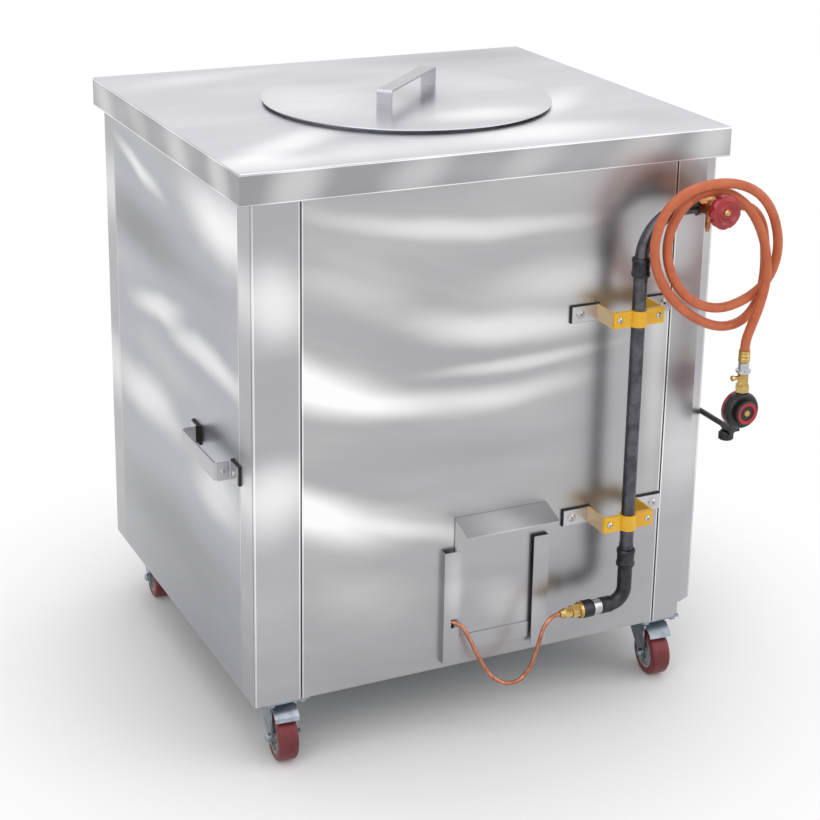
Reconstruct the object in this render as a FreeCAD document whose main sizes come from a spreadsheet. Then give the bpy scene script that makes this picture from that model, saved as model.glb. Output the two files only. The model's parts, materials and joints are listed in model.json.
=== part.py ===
import FreeCAD, Part
import math
import os

import Sketcher
from FreeCAD import Placement, Rotation, Vector

# A clay tandoor in a stainless steel casing on castors, with its gas train.
# The origin is on the floor, under the middle of the oven's outer box.
# +X points to the right as the oven is seen from its front, +Y to its back, +Z up.

DIMENSIONS = [
    # casing
    ("total_height", 926, "floor to the top of the cover"),
    ("castor_height", 105, "floor to the underside of the casing"),
    ("cover_width", 800, "cover, left to right"),
    ("cover_depth", 696, "cover, front to back"),
    ("cover_rim", 46, "height of the cover's turned-down rim"),
    ("cover_sheet", 1.5, "thickness of the cover"),
    ("cover_hem", 3.4, "width of the folded edge under the rim"),
    ("origin_to_front", 294, "origin to the front edge of the cover"),
    ("side_overhang", 16.5, "cover beyond each side of the casing"),
    ("front_overhang", 4, "cover beyond the front of the casing"),
    ("back_overhang", 5, "cover beyond the back of the casing"),
    ("sheet", 1.5, "thickness of the casing panels"),
    ("fold_radius", 2.4, "outside radius of the folds in the casing"),
    ("trim_front_leg", 74, "corner trim, along the front or the back"),
    ("trim_side_leg", 50, "corner trim, along the side"),
    ("front_seam", 2, "open seam between trim and front panel"),
    ("side_seam", 0.8, "open seam between trim and side panel"),
    ("chamfer_width", 21.5, "flattened corner of the right trims, along the front"),
    ("chamfer_depth", 10, "flattened corner of the right trims, along the side"),
    ("frame_inset", 27, "side panel face to the side of the base frame"),
    ("frame_tube", 25, "width of the base frame's tubes"),
    ("frame_rail", 25, "height of the base frame's rails"),
    ("tray_sheet", 2, "thickness of the base tray"),
    ("tab_radius", 8, "rounded lower corner of the right trims"),
    # mouth, pot and lid
    ("mouth_radius", 185, "clear radius of the mouth ring"),
    ("ring_flange", 17, "mouth ring's flange on the cover"),
    ("ring_height", 4, "mouth ring above the cover"),
    ("ring_wall", 3, "wall of the mouth ring's collar"),
    ("ring_drop", 25, "collar below the cover's top"),
    ("ring_edge", 1, "rounding of the ring's inner edge"),
    ("pot_wall", 28, "thickness of the clay"),
    ("pot_base_radius", 215, "inside radius of the pot at its foot"),
    ("pot_curve", 1860, "radius of the belly's outline"),
    ("lid_radius", 231, "lid plate"),
    ("lid_sheet", 2.5, "thickness of the lid plate"),
    ("lid_shift_x", 12, "how far the loose lid lies to the right"),
    ("lid_shift_y", 4, "how far the loose lid lies to the front"),
    ("lid_grip_length", 208, "lid handle"),
    ("lid_grip_width", 25, "width of the lid handle's strap"),
    ("lid_grip_height", 31, "height of the lid handle"),
    ("grip_strap", 3, "thickness of the handle straps"),
    ("strap_bend", 4.5, "outside radius of the bends in the straps"),
    # side handles
    ("handle_span", 151, "between the outer faces of the legs"),
    ("handle_foot", 26, "length of each foot"),
    ("handle_reach", 30, "panel to the outer face of the bar"),
    ("handle_width", 28, "width of the strap"),
    ("handle_setback", 151, "front of the casing to the handle's middle"),
    ("handle_height", 460, "floor to the handle's middle"),
    ("pad_thick", 3, "thickness of the black backing pads"),
    ("pad_border", 1.5, "backing pad beyond the strap"),
    # ash door
    ("door_x", 12, "middle of the ash opening, from the oven's middle"),
    ("door_opening_width", 112, "ash opening"),
    ("door_opening_height", 162, "ash opening"),
    ("door_opening_base", 158, "floor to the foot of the ash opening"),
    ("door_left", 69, "door plate, left of the opening's middle"),
    ("door_right", 88.5, "door plate, right of the opening's middle"),
    ("door_height", 199, "height of the door plate"),
    ("door_sheet", 1.5, "thickness of the door plate"),
    ("door_gap", 0.5, "door plate to the front panel"),
    ("door_lip_reach", 44, "pull lip, forward"),
    ("door_lip_drop", 14, "pull lip, downward"),
    ("guide_flange", 26.5, "width of each guide's face"),
    ("guide_stand", 10.5, "guide's face above the panel"),
    ("guide_slack", 1.5, "door plate to the web of the right guide"),
    ("guide_left_web", 89.5, "outside of the left guide, from the middle"),
    ("guide_height", 187, "length of the guides"),
    ("guide_base", 116, "floor to the foot of the guides"),
    ("sill_rise", 13, "foot of the guides to the foot of the sill strip"),
    ("sill_height", 27, "height of the sill strip"),
    ("sill_thick", 3.5, "thickness of the sill strip"),
    ("duct_left", 86, "inside of the air duct, left of the opening's middle"),
    ("duct_right", 74, "inside of the air duct, right of the middle"),
    ("duct_base", 150, "floor to the inside of the duct"),
    ("duct_height", 182, "inside height of the duct"),
    ("fire_hole_width", 116, "arched hole in the foot of the pot"),
    ("fire_hole_top", 236, "floor to the spring of the arch"),
    # gas pipe
    ("pipe_radius", 10.65, "half-inch gas pipe"),
    ("pipe_bore", 8, "inside radius of the pipe"),
    ("pipe_inset", 165, "right side of the casing to the riser's axis"),
    ("pipe_stand", 52, "riser's axis in front of the casing"),
    ("inlet_height", 184.5, "floor to the axis of the lower run"),
    ("outlet_height", 821, "floor to the axis of the upper run"),
    ("elbow_leg", 51.5, "elbow's bend to the lower coupling's middle"),
    ("bend_leg", 9, "top bend's bend to the upper coupling's middle"),
    ("coupling_radius", 13.6, "pipe couplings"),
    ("coupling_length", 29, "pipe couplings"),
    ("coupling_bead", 1.1, "raised end bead of a coupling"),
    ("elbow_radius", 11.5, "outside radius of the elbow"),
    ("elbow_bend", 25, "bend radius of the elbow's axis"),
    ("elbow_band", 19, "length of the elbow's end band"),
    ("bend_radius", 75, "bend radius of the top bend's axis"),
    ("fit_gap", 0.15, "gap between coaxial pieces"),
    ("union_ring_length", 13.5, "bare ring of the union"),
    ("union_ring_radius", 12, "bare ring of the union"),
    ("union_nut_length", 19.5, "black nut of the union"),
    ("union_nut_radius", 13.8, "black nut of the union"),
    ("adaptor_length", 18, "brass adaptor"),
    ("adaptor_radius", 11, "brass adaptor, across its corners"),
    ("flare_length", 20, "flare nut"),
    ("flare_radius", 9.2, "flare nut, across its corners"),
    ("copper_radius", 3.175, "quarter-inch copper tube"),
    # pipe clamps
    ("clamp_upper", 657, "floor to the upper clamp"),
    ("clamp_lower", 322, "floor to the lower clamp"),
    ("clamp_width", 25, "width of the clamp straps"),
    ("clamp_strap", 3, "thickness of the clamp straps"),
    ("clamp_leg", 45, "pipe's axis to the outside of a leg"),
    ("clamp_tab", 88, "pipe's axis to the end of a tab"),
    ("clamp_tab_bolt", 74, "pipe's axis to a tab's bolt"),
    ("clamp_ear_bolt", 34, "pipe's axis to an ear's bolt"),
    ("clamp_ear", 43.5, "pipe's axis to the end of an ear"),
    # valve and handwheel
    ("valve_inset", 50.5, "right side of the casing to the valve's middle"),
    ("valve_inlet", 23, "valve's middle to the end of the pipe"),
    ("valve_ball", 15.5, "radius of the valve's body"),
    ("bonnet_radius", 11, "valve bonnet"),
    ("bonnet_reach", 29, "valve's axis to the face of the gland nut"),
    ("spindle_radius", 3.5, "valve spindle"),
    ("spindle_gap", 0.05, "running gap round the spindle"),
    ("wheel_stand", 35, "valve's axis to the back of the handwheel"),
    ("wheel_thick", 15, "thickness of the handwheel"),
    ("wheel_radius", 26.5, "handwheel"),
    ("wheel_scallops", 9, "finger scallops round the handwheel"),
    ("valve_outlet", 30, "valve's middle to the end of its outlet"),
    ("outlet_tilt", 6, "degrees that the outlet points down"),
    # hose and regulator
    ("hose_radius", 7.5, "gas hose"),
    ("ferrule_radius", 9.2, "crimped ferrule on the hose"),
    ("ferrule_length", 18, "crimped ferrule on the hose"),
    ("regulator_radius", 29.5, "regulator's case"),
    ("regulator_back", 12, "thickness of the red half"),
    ("regulator_front", 14, "thickness of the black half"),
    ("regulator_drop", 97.4, "end of the hose down to the regulator's middle"),
    ("dial_radius", 19.5, "adjusting dial"),
    ("dial_thick", 9, "adjusting dial"),
    ("dial_gap", 0.3, "running gap behind the dial"),
    ("stem_radius", 4.5, "gas inlet stem"),
    ("stem_length", 77.5, "gas inlet stem"),
    ("stem_drop", 8.5, "edge of the case to the stem's axis"),
    ("stem_side", 3.7, "regulator's middle to the stem's axis"),
    ("knob_behind", 13, "back of the case to the knob's axis"),
    ("knob_radius", 12, "shut-off knob"),
    ("knob_height", 14, "shut-off knob"),
    # castors
    ("castor_side", 28, "side of the base frame to the swivel axis"),
    ("castor_end", 48, "front or back of the casing to the swivel axis"),
    ("castor_trail", 28, "swivel axis to the axle"),
    ("castor_turn", 5, "degrees that the castors stand turned"),
    ("plate_width", 68, "castor plate, left to right"),
    ("plate_length", 92, "castor plate, front to back"),
    ("plate_thick", 4, "castor plate"),
    ("plate_bolt_x", 50, "between the plate's bolts, left to right"),
    ("plate_bolt_y", 74, "between the plate's bolts, front to back"),
    ("race_radius", 25, "ball race under the plate"),
    ("race_height", 6, "ball race under the plate"),
    ("tread_radius", 37.5, "wheel"),
    ("tread_width", 32, "wheel"),
    ("hub_radius", 26, "wheel hub"),
    ("axle_radius", 4, "axle bolt"),
    ("fork_gap", 2, "wheel to the fork's leg"),
    ("fork_sheet", 3, "thickness of the fork"),
    ("running_gap", 0.3, "gap between parts that turn"),
    ("pin_gap", 0.05, "running fit of pins and axles"),
]

doc = FreeCAD.newDocument("TandoorOven")
sheet = doc.addObject("Spreadsheet::Sheet", "dims")
for row, (alias, number, meaning) in enumerate(DIMENSIONS, start=1):
    sheet.set(f"A{row}", alias)
    sheet.set(f"B{row}", str(number))
    sheet.set(f"C{row}", meaning)
    sheet.setAlias(f"B{row}", alias)
doc.recompute()


class Size:
    """A length with its number and the sheet formula that gives it."""

    def __init__(self, number, formula=None):
        self.number = float(number)
        self.formula = formula or repr(self.number)

    def __float__(self):
        return self.number

    def __add__(self, other):
        other = as_size(other)
        return Size(self.number + other.number, f"({self.formula} + {other.formula})")

    def __sub__(self, other):
        other = as_size(other)
        return Size(self.number - other.number, f"({self.formula} - {other.formula})")

    def __mul__(self, other):
        other = as_size(other)
        return Size(self.number * other.number, f"({self.formula} * {other.formula})")

    def __truediv__(self, other):
        other = as_size(other)
        return Size(self.number / other.number, f"({self.formula} / {other.formula})")

    def __radd__(self, other):
        return as_size(other) + self

    def __rsub__(self, other):
        return as_size(other) - self

    def __rmul__(self, other):
        return as_size(other) * self

    def __neg__(self):
        return as_size(0) - self

    def root(self):
        return Size(math.sqrt(self.number), f"sqrt({self.formula})")


def as_size(value):
    return value if isinstance(value, Size) else Size(value)


class Cells:
    """Reads a driving dimension by its alias."""

    def __getattr__(self, alias):
        return Size(sheet.get(alias), f"dims.{alias}")


d = Cells()
TURN = {
    "+x": Rotation(Vector(0, 1, 0), 90),
    "-x": Rotation(Vector(0, 1, 0), -90),
    "+y": Rotation(Vector(1, 0, 0), -90),
    "-y": Rotation(Vector(1, 0, 0), 90),
    "+z": Rotation(),
    "-z": Rotation(Vector(1, 0, 0), 180),
}
SUB_PARTS = []


# ---- how the pieces are drawn ---------------------------------------------------------


def bind(thing, path, value):
    thing.setExpression(path, as_size(value).formula)


def place(thing, at, turn=None):
    """Puts a piece at a point whose coordinates follow the sheet."""
    thing.Placement = Placement(Vector(*[float(value) for value in at]), turn or Rotation())
    for axis, value in zip("xyz", at):
        bind(thing, f"Placement.Base.{axis}", value)
    return thing


def slab(label, x, y, z):
    """A box between two values of each coordinate."""
    box = doc.addObject("Part::Box", label)
    for path, (low, high) in zip(("Length", "Width", "Height"), (x, y, z)):
        bind(box, path, high - low)
    return place(box, (x[0], y[0], z[0]))


def rod(label, radius, start, length, way):
    """A cylinder from a point along one of the six ways."""
    cylinder = doc.addObject("Part::Cylinder", label)
    bind(cylinder, "Radius", radius)
    bind(cylinder, "Height", length)
    return place(cylinder, start, TURN[way])


def hexagon(label, radius, start, length, way):
    """A six-sided bar with this radius at its corners."""
    prism = doc.addObject("Part::Prism", label)
    prism.Polygon = 6
    bind(prism, "Circumradius", radius)
    bind(prism, "Height", length)
    return place(prism, start, TURN[way])


def fuse(label, shapes):
    fusion = doc.addObject("Part::MultiFuse", label)
    fusion.Shapes = shapes
    fusion.Refine = True
    return fusion


def cut(label, base, tools):
    result = doc.addObject("Part::Cut", label)
    result.Base = base
    result.Tool = tools[0] if len(tools) == 1 else fuse(label + "_tools", tools)
    return result


def group(label, shapes):
    compound = doc.addObject("Part::Compound", label)
    compound.Links = shapes
    return compound


def arc_centre(start, end, radius):
    """Centre of the short arc from start to end; a positive radius turns counter-clockwise."""
    half = (end - start) * 0.5
    rise = math.sqrt(max(radius * radius - half.Length ** 2, 0.0))
    left = Vector(-half.y, half.x, 0).normalize()
    return start + half + left * math.copysign(rise, radius)


def outline(body, plane, corners):
    """A closed sketch whose corners follow the sheet.

    A corner is (x, y), or (x, y, radius) where the side that leaves it is an arc.
    A half circle is held by its centre, any other arc by its radius.
    """
    sketch = body.newObject("Sketcher::SketchObject", body.Name + "_outline")
    origin_plane = next(f for f in body.Origin.OriginFeatures if f.Role == plane)
    sketch.AttachmentSupport = [(origin_plane, "")]
    sketch.MapMode = "FlatFace"
    points = [Vector(float(c[0]), float(c[1]), 0) for c in corners]
    ends = []
    for i, corner in enumerate(corners):
        start, end = points[i], points[(i + 1) % len(points)]
        if len(corner) == 2:
            sketch.addGeometry(Part.LineSegment(start, end))
            ends.append((1, 2))
            continue
        radius = float(corner[2])
        centre = arc_centre(start, end, radius)
        first, last = (start, end) if radius > 0 else (end, start)
        angle = [math.atan2(p.y - centre.y, p.x - centre.x) for p in (first, last)]
        if angle[1] < angle[0]:
            angle[1] += 2 * math.pi
        circle = Part.Circle(centre, Vector(0, 0, 1), abs(radius))
        sketch.addGeometry(Part.ArcOfCircle(circle, *angle))
        ends.append((1, 2) if radius > 0 else (2, 1))
    for i, corner in enumerate(corners):
        after = (i + 1) % len(corners)
        sketch.addConstraint(Sketcher.Constraint("Coincident", i, ends[i][1], after, ends[after][0]))
        for kind, value in (("DistanceX", corner[0]), ("DistanceY", corner[1])):
            pin = Sketcher.Constraint(kind, -1, 1, i, ends[i][0], float(value))
            bind(sketch, f"Constraints[{sketch.addConstraint(pin)}]", value)
        if len(corner) == 3 and (points[after] - points[i]).Length > 1.999 * abs(float(corner[2])):
            level = abs(points[after].y - points[i].y) < 1e-6
            kind, value = ("DistanceY", corner[1]) if level else ("DistanceX", corner[0])
            pin = Sketcher.Constraint(kind, -1, 1, i, 3, float(value))
            bind(sketch, f"Constraints[{sketch.addConstraint(pin)}]", value)
        elif len(corner) == 3:
            bend = Sketcher.Constraint("Radius", i, abs(float(corner[2])))
            size = corner[2] if float(corner[2]) > 0 else -as_size(corner[2])
            bind(sketch, f"Constraints[{sketch.addConstraint(bend)}]", size)
    return sketch


def padded(label, plane, corners, length, at, turn=None, middle=False):
    """An outline padded along its plane's normal: +Z on XY, -Y on XZ, +X on YZ."""
    body = doc.addObject("PartDesign::Body", label)
    sketch = outline(body, plane + "_Plane", corners)
    pad = body.newObject("PartDesign::Pad", label + "_pad")
    pad.Profile = sketch
    pad.Midplane = middle
    bind(pad, "Length", length)
    return place(body, at, turn)


def turned(label, corners, at, way="+z"):
    """A profile of (radius, height) turned about its axis, which then points one way."""
    body = doc.addObject("PartDesign::Body", label)
    sketch = outline(body, "XZ_Plane", corners)
    revolution = body.newObject("PartDesign::Revolution", label + "_turn")
    revolution.Profile = sketch
    revolution.ReferenceAxis = (sketch, ["V_Axis"])
    revolution.Angle = 360
    return place(body, at, TURN[way])


def ring_of_cuts(body, plane, corners, depth, copies):
    """Pockets one outline out of a turned body and repeats it round the body's axis."""
    sketch = outline(body, plane + "_Plane", corners)
    pocket = body.newObject("PartDesign::Pocket", body.Name + "_pocket")
    pocket.Profile = sketch
    pocket.Midplane = True
    bind(pocket, "Length", depth)
    pattern = body.newObject("PartDesign::PolarPattern", body.Name + "_pattern")
    pattern.Originals = [pocket]
    pattern.Axis = (next(f for f in body.Origin.OriginFeatures if f.Role == "Z_Axis"), [""])
    pattern.Angle = 360
    bind(pattern, "Occurrences", copies)
    body.Tip = pattern
    return body


def rounded(corners, radii):
    """Puts an arc on chosen corners of an outline whose sides run along its axes."""
    result = []
    for i, corner in enumerate(corners):
        if i not in radii:
            result.append(corner)
            continue
        before, after = corners[i - 1], corners[(i + 1) % len(corners)]
        steps = [(float(other[0]) - float(corner[0]), float(other[1]) - float(corner[1]))
                 for other in (before, after)]
        ends = []
        for step in steps:
            axis = 0 if abs(step[0]) > abs(step[1]) else 1
            moved = list(corner)
            moved[axis] = corner[axis] + math.copysign(1, step[axis]) * radii[i]
            ends.append(tuple(moved))
        turn = steps[1][0] * steps[0][1] - steps[1][1] * steps[0][0]
        result += [(*ends[0], math.copysign(1, -turn) * radii[i]), ends[1]]
    return result


def circle(x, y, radius):
    """Two half-circle sides, as corners for an outline."""
    return [(x - radius, y, radius), (x + radius, y, radius)]


def route_wire(points, share=0.45):
    """Straight runs joined by tangent arcs, each as large as the shorter run allows."""
    edges, radii, here = [], [], points[0]
    for before, corner, after in zip(points, points[1:], points[2:]):
        towards, away = before - corner, after - corner
        half_turn = (math.pi - towards.getAngle(away)) / 2
        tangent = share * min(towards.Length, away.Length)
        radii.append(tangent / math.tan(half_turn))
        start = corner + towards.normalize() * tangent
        end = corner + away.normalize() * tangent
        inward = (towards + away).normalize()
        to_centre = math.hypot(tangent, radii[-1])
        middle = corner + inward * (to_centre - radii[-1])
        edges += [Part.LineSegment(here, start).toShape(), Part.Arc(start, middle, end).toShape()]
        here = end
    edges.append(Part.LineSegment(here, points[-1]).toShape())
    return Part.Wire(edges), radii


def tube(label, points, radius):
    """A round bar along a route of runs and arcs."""
    wire, radii = route_wire([Vector(*[float(value) for value in point]) for point in points])
    first = wire.Edges[0]
    heading = first.tangentAt(first.FirstParameter)
    section = Part.Wire(Part.makeCircle(float(radius), wire.Vertexes[0].Point, heading))
    feature = doc.addObject("Part::Feature", label)
    feature.Shape = wire.makePipeShell([section], True, False)
    expected = math.pi * float(radius) ** 2 * wire.Length
    print(f"{label}: {wire.Length:.0f} mm long, volume {feature.Shape.Volume / expected:.4f} of section"
          f" x length, radii {' '.join(f'{r:.0f}' for r in radii)}")
    return feature


def sub_part(thing):
    SUB_PARTS.append(thing)
    return thing


# ---- where the main faces lie ----------------------------------------------------------

cover_right = d.cover_width / 2
cover_front = -d.origin_to_front
cover_back = cover_front + d.cover_depth
right = cover_right - d.side_overhang
left = -right
front = cover_front + d.front_overhang
back = cover_back - d.back_overhang
base = d.castor_height
top = d.total_height
under_cover = top - d.cover_sheet
rail_top = base + d.frame_rail
frame_side = right - d.frame_inset
mouth = (as_size(0), cover_front + d.cover_depth / 2)
tray_top = base + d.tray_sheet
pipe_x = right - d.pipe_inset
pipe_y = front - d.pipe_stand
lower_joint = d.inlet_height + d.elbow_bend + d.elbow_leg
upper_joint = d.outlet_height - d.bend_radius - d.bend_leg
valve_x = right - d.valve_inset
pot_mouth = d.mouth_radius + d.ring_wall + d.running_gap * 3


# ---- casing ----------------------------------------------------------------------------


def folded_blank(label, radius):
    """The cover's outside: a padded rectangle whose upper and upright edges are folds."""
    corners = [(-cover_right, cover_front), (cover_right, cover_front), (cover_right, cover_back),
               (-cover_right, cover_back)]
    body = padded(label, "XY", corners, d.cover_rim, (0, 0, top - d.cover_rim))
    doc.recompute()
    pad = body.Tip
    level = float(d.cover_rim)
    edges = [f"Edge{i}" for i, edge in enumerate(pad.Shape.Edges, start=1)
             if edge.BoundBox.ZMax > level - 0.01]
    fold = body.newObject("PartDesign::Fillet", label + "_folds")
    fold.Base = (pad, edges)
    bind(fold, "Radius", radius)
    body.Tip = fold
    return body


def make_cover():
    blank = folded_blank("cover_blank", d.fold_radius)
    rim_foot = top - d.cover_rim
    wall = d.cover_sheet
    inside = slab("cover_inside", (wall - cover_right, cover_right - wall),
                  (cover_front + wall, cover_back - wall), (rim_foot + wall, under_cover))
    hem = d.cover_hem
    opening = slab("cover_skirt", (hem - cover_right, cover_right - hem),
                   (cover_front + hem, cover_back - hem), (rim_foot - wall, rim_foot + 2 * wall))
    hole_radius = d.mouth_radius + d.ring_wall + d.running_gap
    hole = rod("cover_hole", hole_radius, (*mouth, under_cover - 1), d.cover_sheet + 2, "+z")
    sub_part(cut("cover", blank, [inside, opening, hole]))


def make_panels():
    """Four skins between the corner trims, with their turned-in lower edges."""
    skin = d.sheet
    seam_x = right - d.trim_front_leg - d.front_seam
    sheet_blank = slab("front_blank", (-seam_x, seam_x), (front, front + skin), (base, under_cover))
    half_opening = d.door_opening_width / 2
    opening = slab("front_opening", (d.door_x - half_opening, d.door_x + half_opening),
                   (front - 1, front + skin + 1),
                   (d.door_opening_base, d.door_opening_base + d.door_opening_height))
    tube_hole = rod("front_tube_hole", d.copper_radius + 2.5, (COPPER_HOLE[0], front - 1, COPPER_HOLE[1]),
                    skin + 2, "+y")
    sub_part(cut("front_panel", sheet_blank, [opening, tube_hole]))
    sub_part(slab("rear_panel", (-seam_x, seam_x), (back - skin, back), (base, under_cover)))
    ends = (front + d.trim_side_leg + d.side_seam, back - d.trim_side_leg - d.side_seam)
    left_skin = slab("left_skin", (left, left + skin), ends, (base, under_cover))
    left_return = slab("left_return", (left, -frame_side), ends, (base, base + skin))
    sub_part(fuse("left_panel", [left_skin, left_return]))
    right_skin = slab("right_skin", (right - skin, right), ends, (rail_top, under_cover))
    right_return = slab("right_return", (frame_side, right), ends, (rail_top, rail_top + skin))
    sub_part(fuse("right_panel", [right_skin, right_return]))


def corner_tab(label, y):
    """The right trims' narrower lower end, with its rounded corner, drawn on the front plane."""
    inner = right - d.trim_front_leg
    corners = [(inner, base), (frame_side - d.tab_radius, base, d.tab_radius),
               (frame_side, base + d.tab_radius), (frame_side, rail_top + 1), (inner, rail_top + 1)]
    return padded(label, "XZ", corners, d.sheet, (0, y + d.sheet, 0))


def make_trims():
    """Corner trims: sharp on the left, flattened and cut short on the right."""
    skin, leg, side, fold = d.sheet, d.trim_front_leg, d.trim_side_leg, d.fold_radius
    height = under_cover - base
    bends = {0: fold, 3: fold - skin}
    sharp = rounded([(0, 0), (leg, 0), (leg, skin), (skin, skin), (skin, side), (0, side)], bends)
    sub_part(padded("trim_front_left", "XY", sharp, height, (left, front, base)))
    short = under_cover - rail_top
    wide, deep = d.chamfer_width, d.chamfer_depth
    flat = [(-leg, 0), (-wide, 0), (0, deep), (0, side), (-skin, side), (-skin, deep + skin / 2),
            (-wide - skin / 4, skin), (-leg, skin)]
    front_sheet = padded("trim_front_right_sheet", "XY", flat, short, (right, front, rail_top))
    sub_part(fuse("trim_front_right", [front_sheet, corner_tab("front_tab", front)]))
    rear_left = rounded([(0, 0), (0, -side), (skin, -side), (skin, -skin), (leg, -skin), (leg, 0)], bends)
    rear_right = rounded([(0, 0), (-leg, 0), (-leg, -skin), (-skin, -skin), (-skin, -side), (0, -side)],
                         bends)
    left_trim = padded("trim_rear_left", "XY", rear_left, height, (left, back, base))
    rear_sheet = padded("trim_rear_right_sheet", "XY", rear_right, short, (right, back, rail_top))
    right_trim = fuse("trim_rear_right", [rear_sheet, corner_tab("rear_tab", back - skin)])
    sub_part(group("rear_corner_trims", [left_trim, right_trim]))


def frame_y():
    return front + d.sheet, back - d.sheet


def make_frame():
    """Base ring of square tube with four posts, and the tray inside the ring."""
    tube_width = d.frame_tube
    y_front, y_back = frame_y()
    outer = slab("frame_outer", (-frame_side, frame_side), (y_front, y_back), (base, rail_top))
    inner = slab("frame_inner", (tube_width - frame_side, frame_side - tube_width),
                 (y_front + tube_width, y_back - tube_width), (base - 1, rail_top + 1))
    ring = cut("frame_ring", outer, [inner])
    sub_part(fuse("base_frame", [ring] + frame_posts("frame_post", 0)))
    sub_part(slab("base_tray", (tube_width - frame_side, frame_side - tube_width),
                  (y_front + tube_width, y_back - tube_width), (base, tray_top)))


def frame_posts(label, gap):
    """The four corner posts, or the pockets that clear them by a gap."""
    tube_width = d.frame_tube
    y_front, y_back = frame_y()
    posts = []
    for side in (-1, 1):
        inner, outer = side * (frame_side - tube_width - gap), side * (frame_side + gap)
        x = (inner, outer) if side > 0 else (outer, inner)
        for end, y in enumerate(((y_front, y_front + tube_width + gap),
                                 (y_back - tube_width - gap, y_back))):
            name = f"{label}_{'left' if side < 0 else 'right'}_{'back' if end else 'front'}"
            posts.append(slab(name, x, y, (rail_top, under_cover)))
    return posts


# ---- pot, mouth, burner ----------------------------------------------------------------


def pot_outline(swell, foot):
    """Right edge of the pot's outside: foot, belly arc, mouth; swollen by a clearance."""
    base_radius = d.pot_base_radius + d.pot_wall + swell
    mouth_outside = pot_mouth + d.pot_wall + swell
    return [(base_radius, foot, d.pot_curve), (mouth_outside, under_cover)]


def fire_hole(label, grow):
    """Arched passage through the front of the pot, as a tool."""
    half = d.fire_hole_width / 2 + grow
    middle = d.door_x + (d.duct_right - d.duct_left) / 2
    low = d.duct_base - grow
    arch = [(middle - half, low), (middle + half, low), (middle + half, d.fire_hole_top, half),
            (middle - half, d.fire_hole_top)]
    return padded(label, "XZ", arch, d.cover_depth / 2, (0, mouth[1] - d.pot_base_radius / 2, 0))


def make_pot():
    sides = pot_outline(0, tray_top)
    inner = [(pot_mouth, under_cover, -(d.pot_curve - d.pot_wall)), (d.pot_base_radius, tray_top)]
    shell = turned("pot_shell", [*sides, *inner], (*mouth, 0))
    sub_part(cut("clay_pot", shell, [fire_hole("pot_fire_hole", 0)]))
    flange = d.mouth_radius + d.ring_wall + d.ring_flange
    collar = d.mouth_radius + d.ring_wall
    ring = [(d.mouth_radius, -d.ring_drop), (collar, -d.ring_drop), (collar, 0), (flange, 0),
            (flange, d.ring_height - d.ring_edge), (flange - d.ring_edge, d.ring_height),
            (d.mouth_radius + d.ring_edge, d.ring_height, d.ring_edge),
            (d.mouth_radius, d.ring_height - d.ring_edge)]
    sub_part(turned("mouth_ring", ring, (*mouth, top)))


def duct_box(label, wall, y_end):
    low_x, high_x = d.door_x - d.duct_left - wall, d.door_x + d.duct_right + wall
    low_z = d.duct_base - wall
    return slab(label, (low_x, high_x), (front + d.sheet, y_end),
                (low_z, d.duct_base + d.duct_height + wall))


def make_insulation():
    """Packing round the pot, open for the duct, the fire hole, the posts and the pot."""
    skin, gap = d.sheet, d.running_gap
    y_front, y_back = frame_y()
    fold_room = d.fold_radius - skin
    upper = slab("packing_upper", (left + skin + fold_room, right - skin - fold_room),
                 (y_front + fold_room, y_back - fold_room), (rail_top + skin + gap, under_cover - gap))
    inset = d.frame_tube + gap
    lower = slab("packing_lower", (inset - frame_side, frame_side - inset),
                 (y_front + inset, y_back - inset), (tray_top, rail_top + skin + gap))
    hollow = [(0, tray_top - 1), (d.pot_base_radius + d.pot_wall + gap, tray_top - 1),
              *pot_outline(gap, tray_top), (0, under_cover)]
    edge = right - d.chamfer_width * 1.4
    corner = [(edge, front - 1), (right + 1, front - 1), (right + 1, front + d.chamfer_depth * 1.5)]
    tools = [turned("packing_hollow", hollow, (*mouth, 0)), fire_hole("packing_fire_hole", gap),
             duct_box("packing_duct", skin + gap, mouth[1] - d.pot_base_radius),
             padded("packing_corner", "XY", corner, as_size(top), (0, 0, base))]
    tools += frame_posts("packing_post", gap)
    sub_part(cut("insulation_fill", fuse("packing_blank", [upper, lower]), tools))
    reach = mouth[1] - d.pot_base_radius
    outside = duct_box("duct_outside", skin, reach)
    inside = slab("duct_inside", (d.door_x - d.duct_left, d.door_x + d.duct_right),
                  (front, reach + 1), (d.duct_base, d.duct_base + d.duct_height))
    clear = [(0, tray_top), *pot_outline(gap, tray_top), (0, under_cover)]
    sub_part(cut("air_duct", outside, [inside, turned("duct_pot", clear, (*mouth, 0))]))


BURNER_AXIS = 37      # venturi above the tray
BURNER_RADIUS = 84
BURNER_PORTS = 16
VENTURI_RADIUS = 15
VENTURI_END = 150     # from the pot's axis
JET_LENGTH = 26


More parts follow.
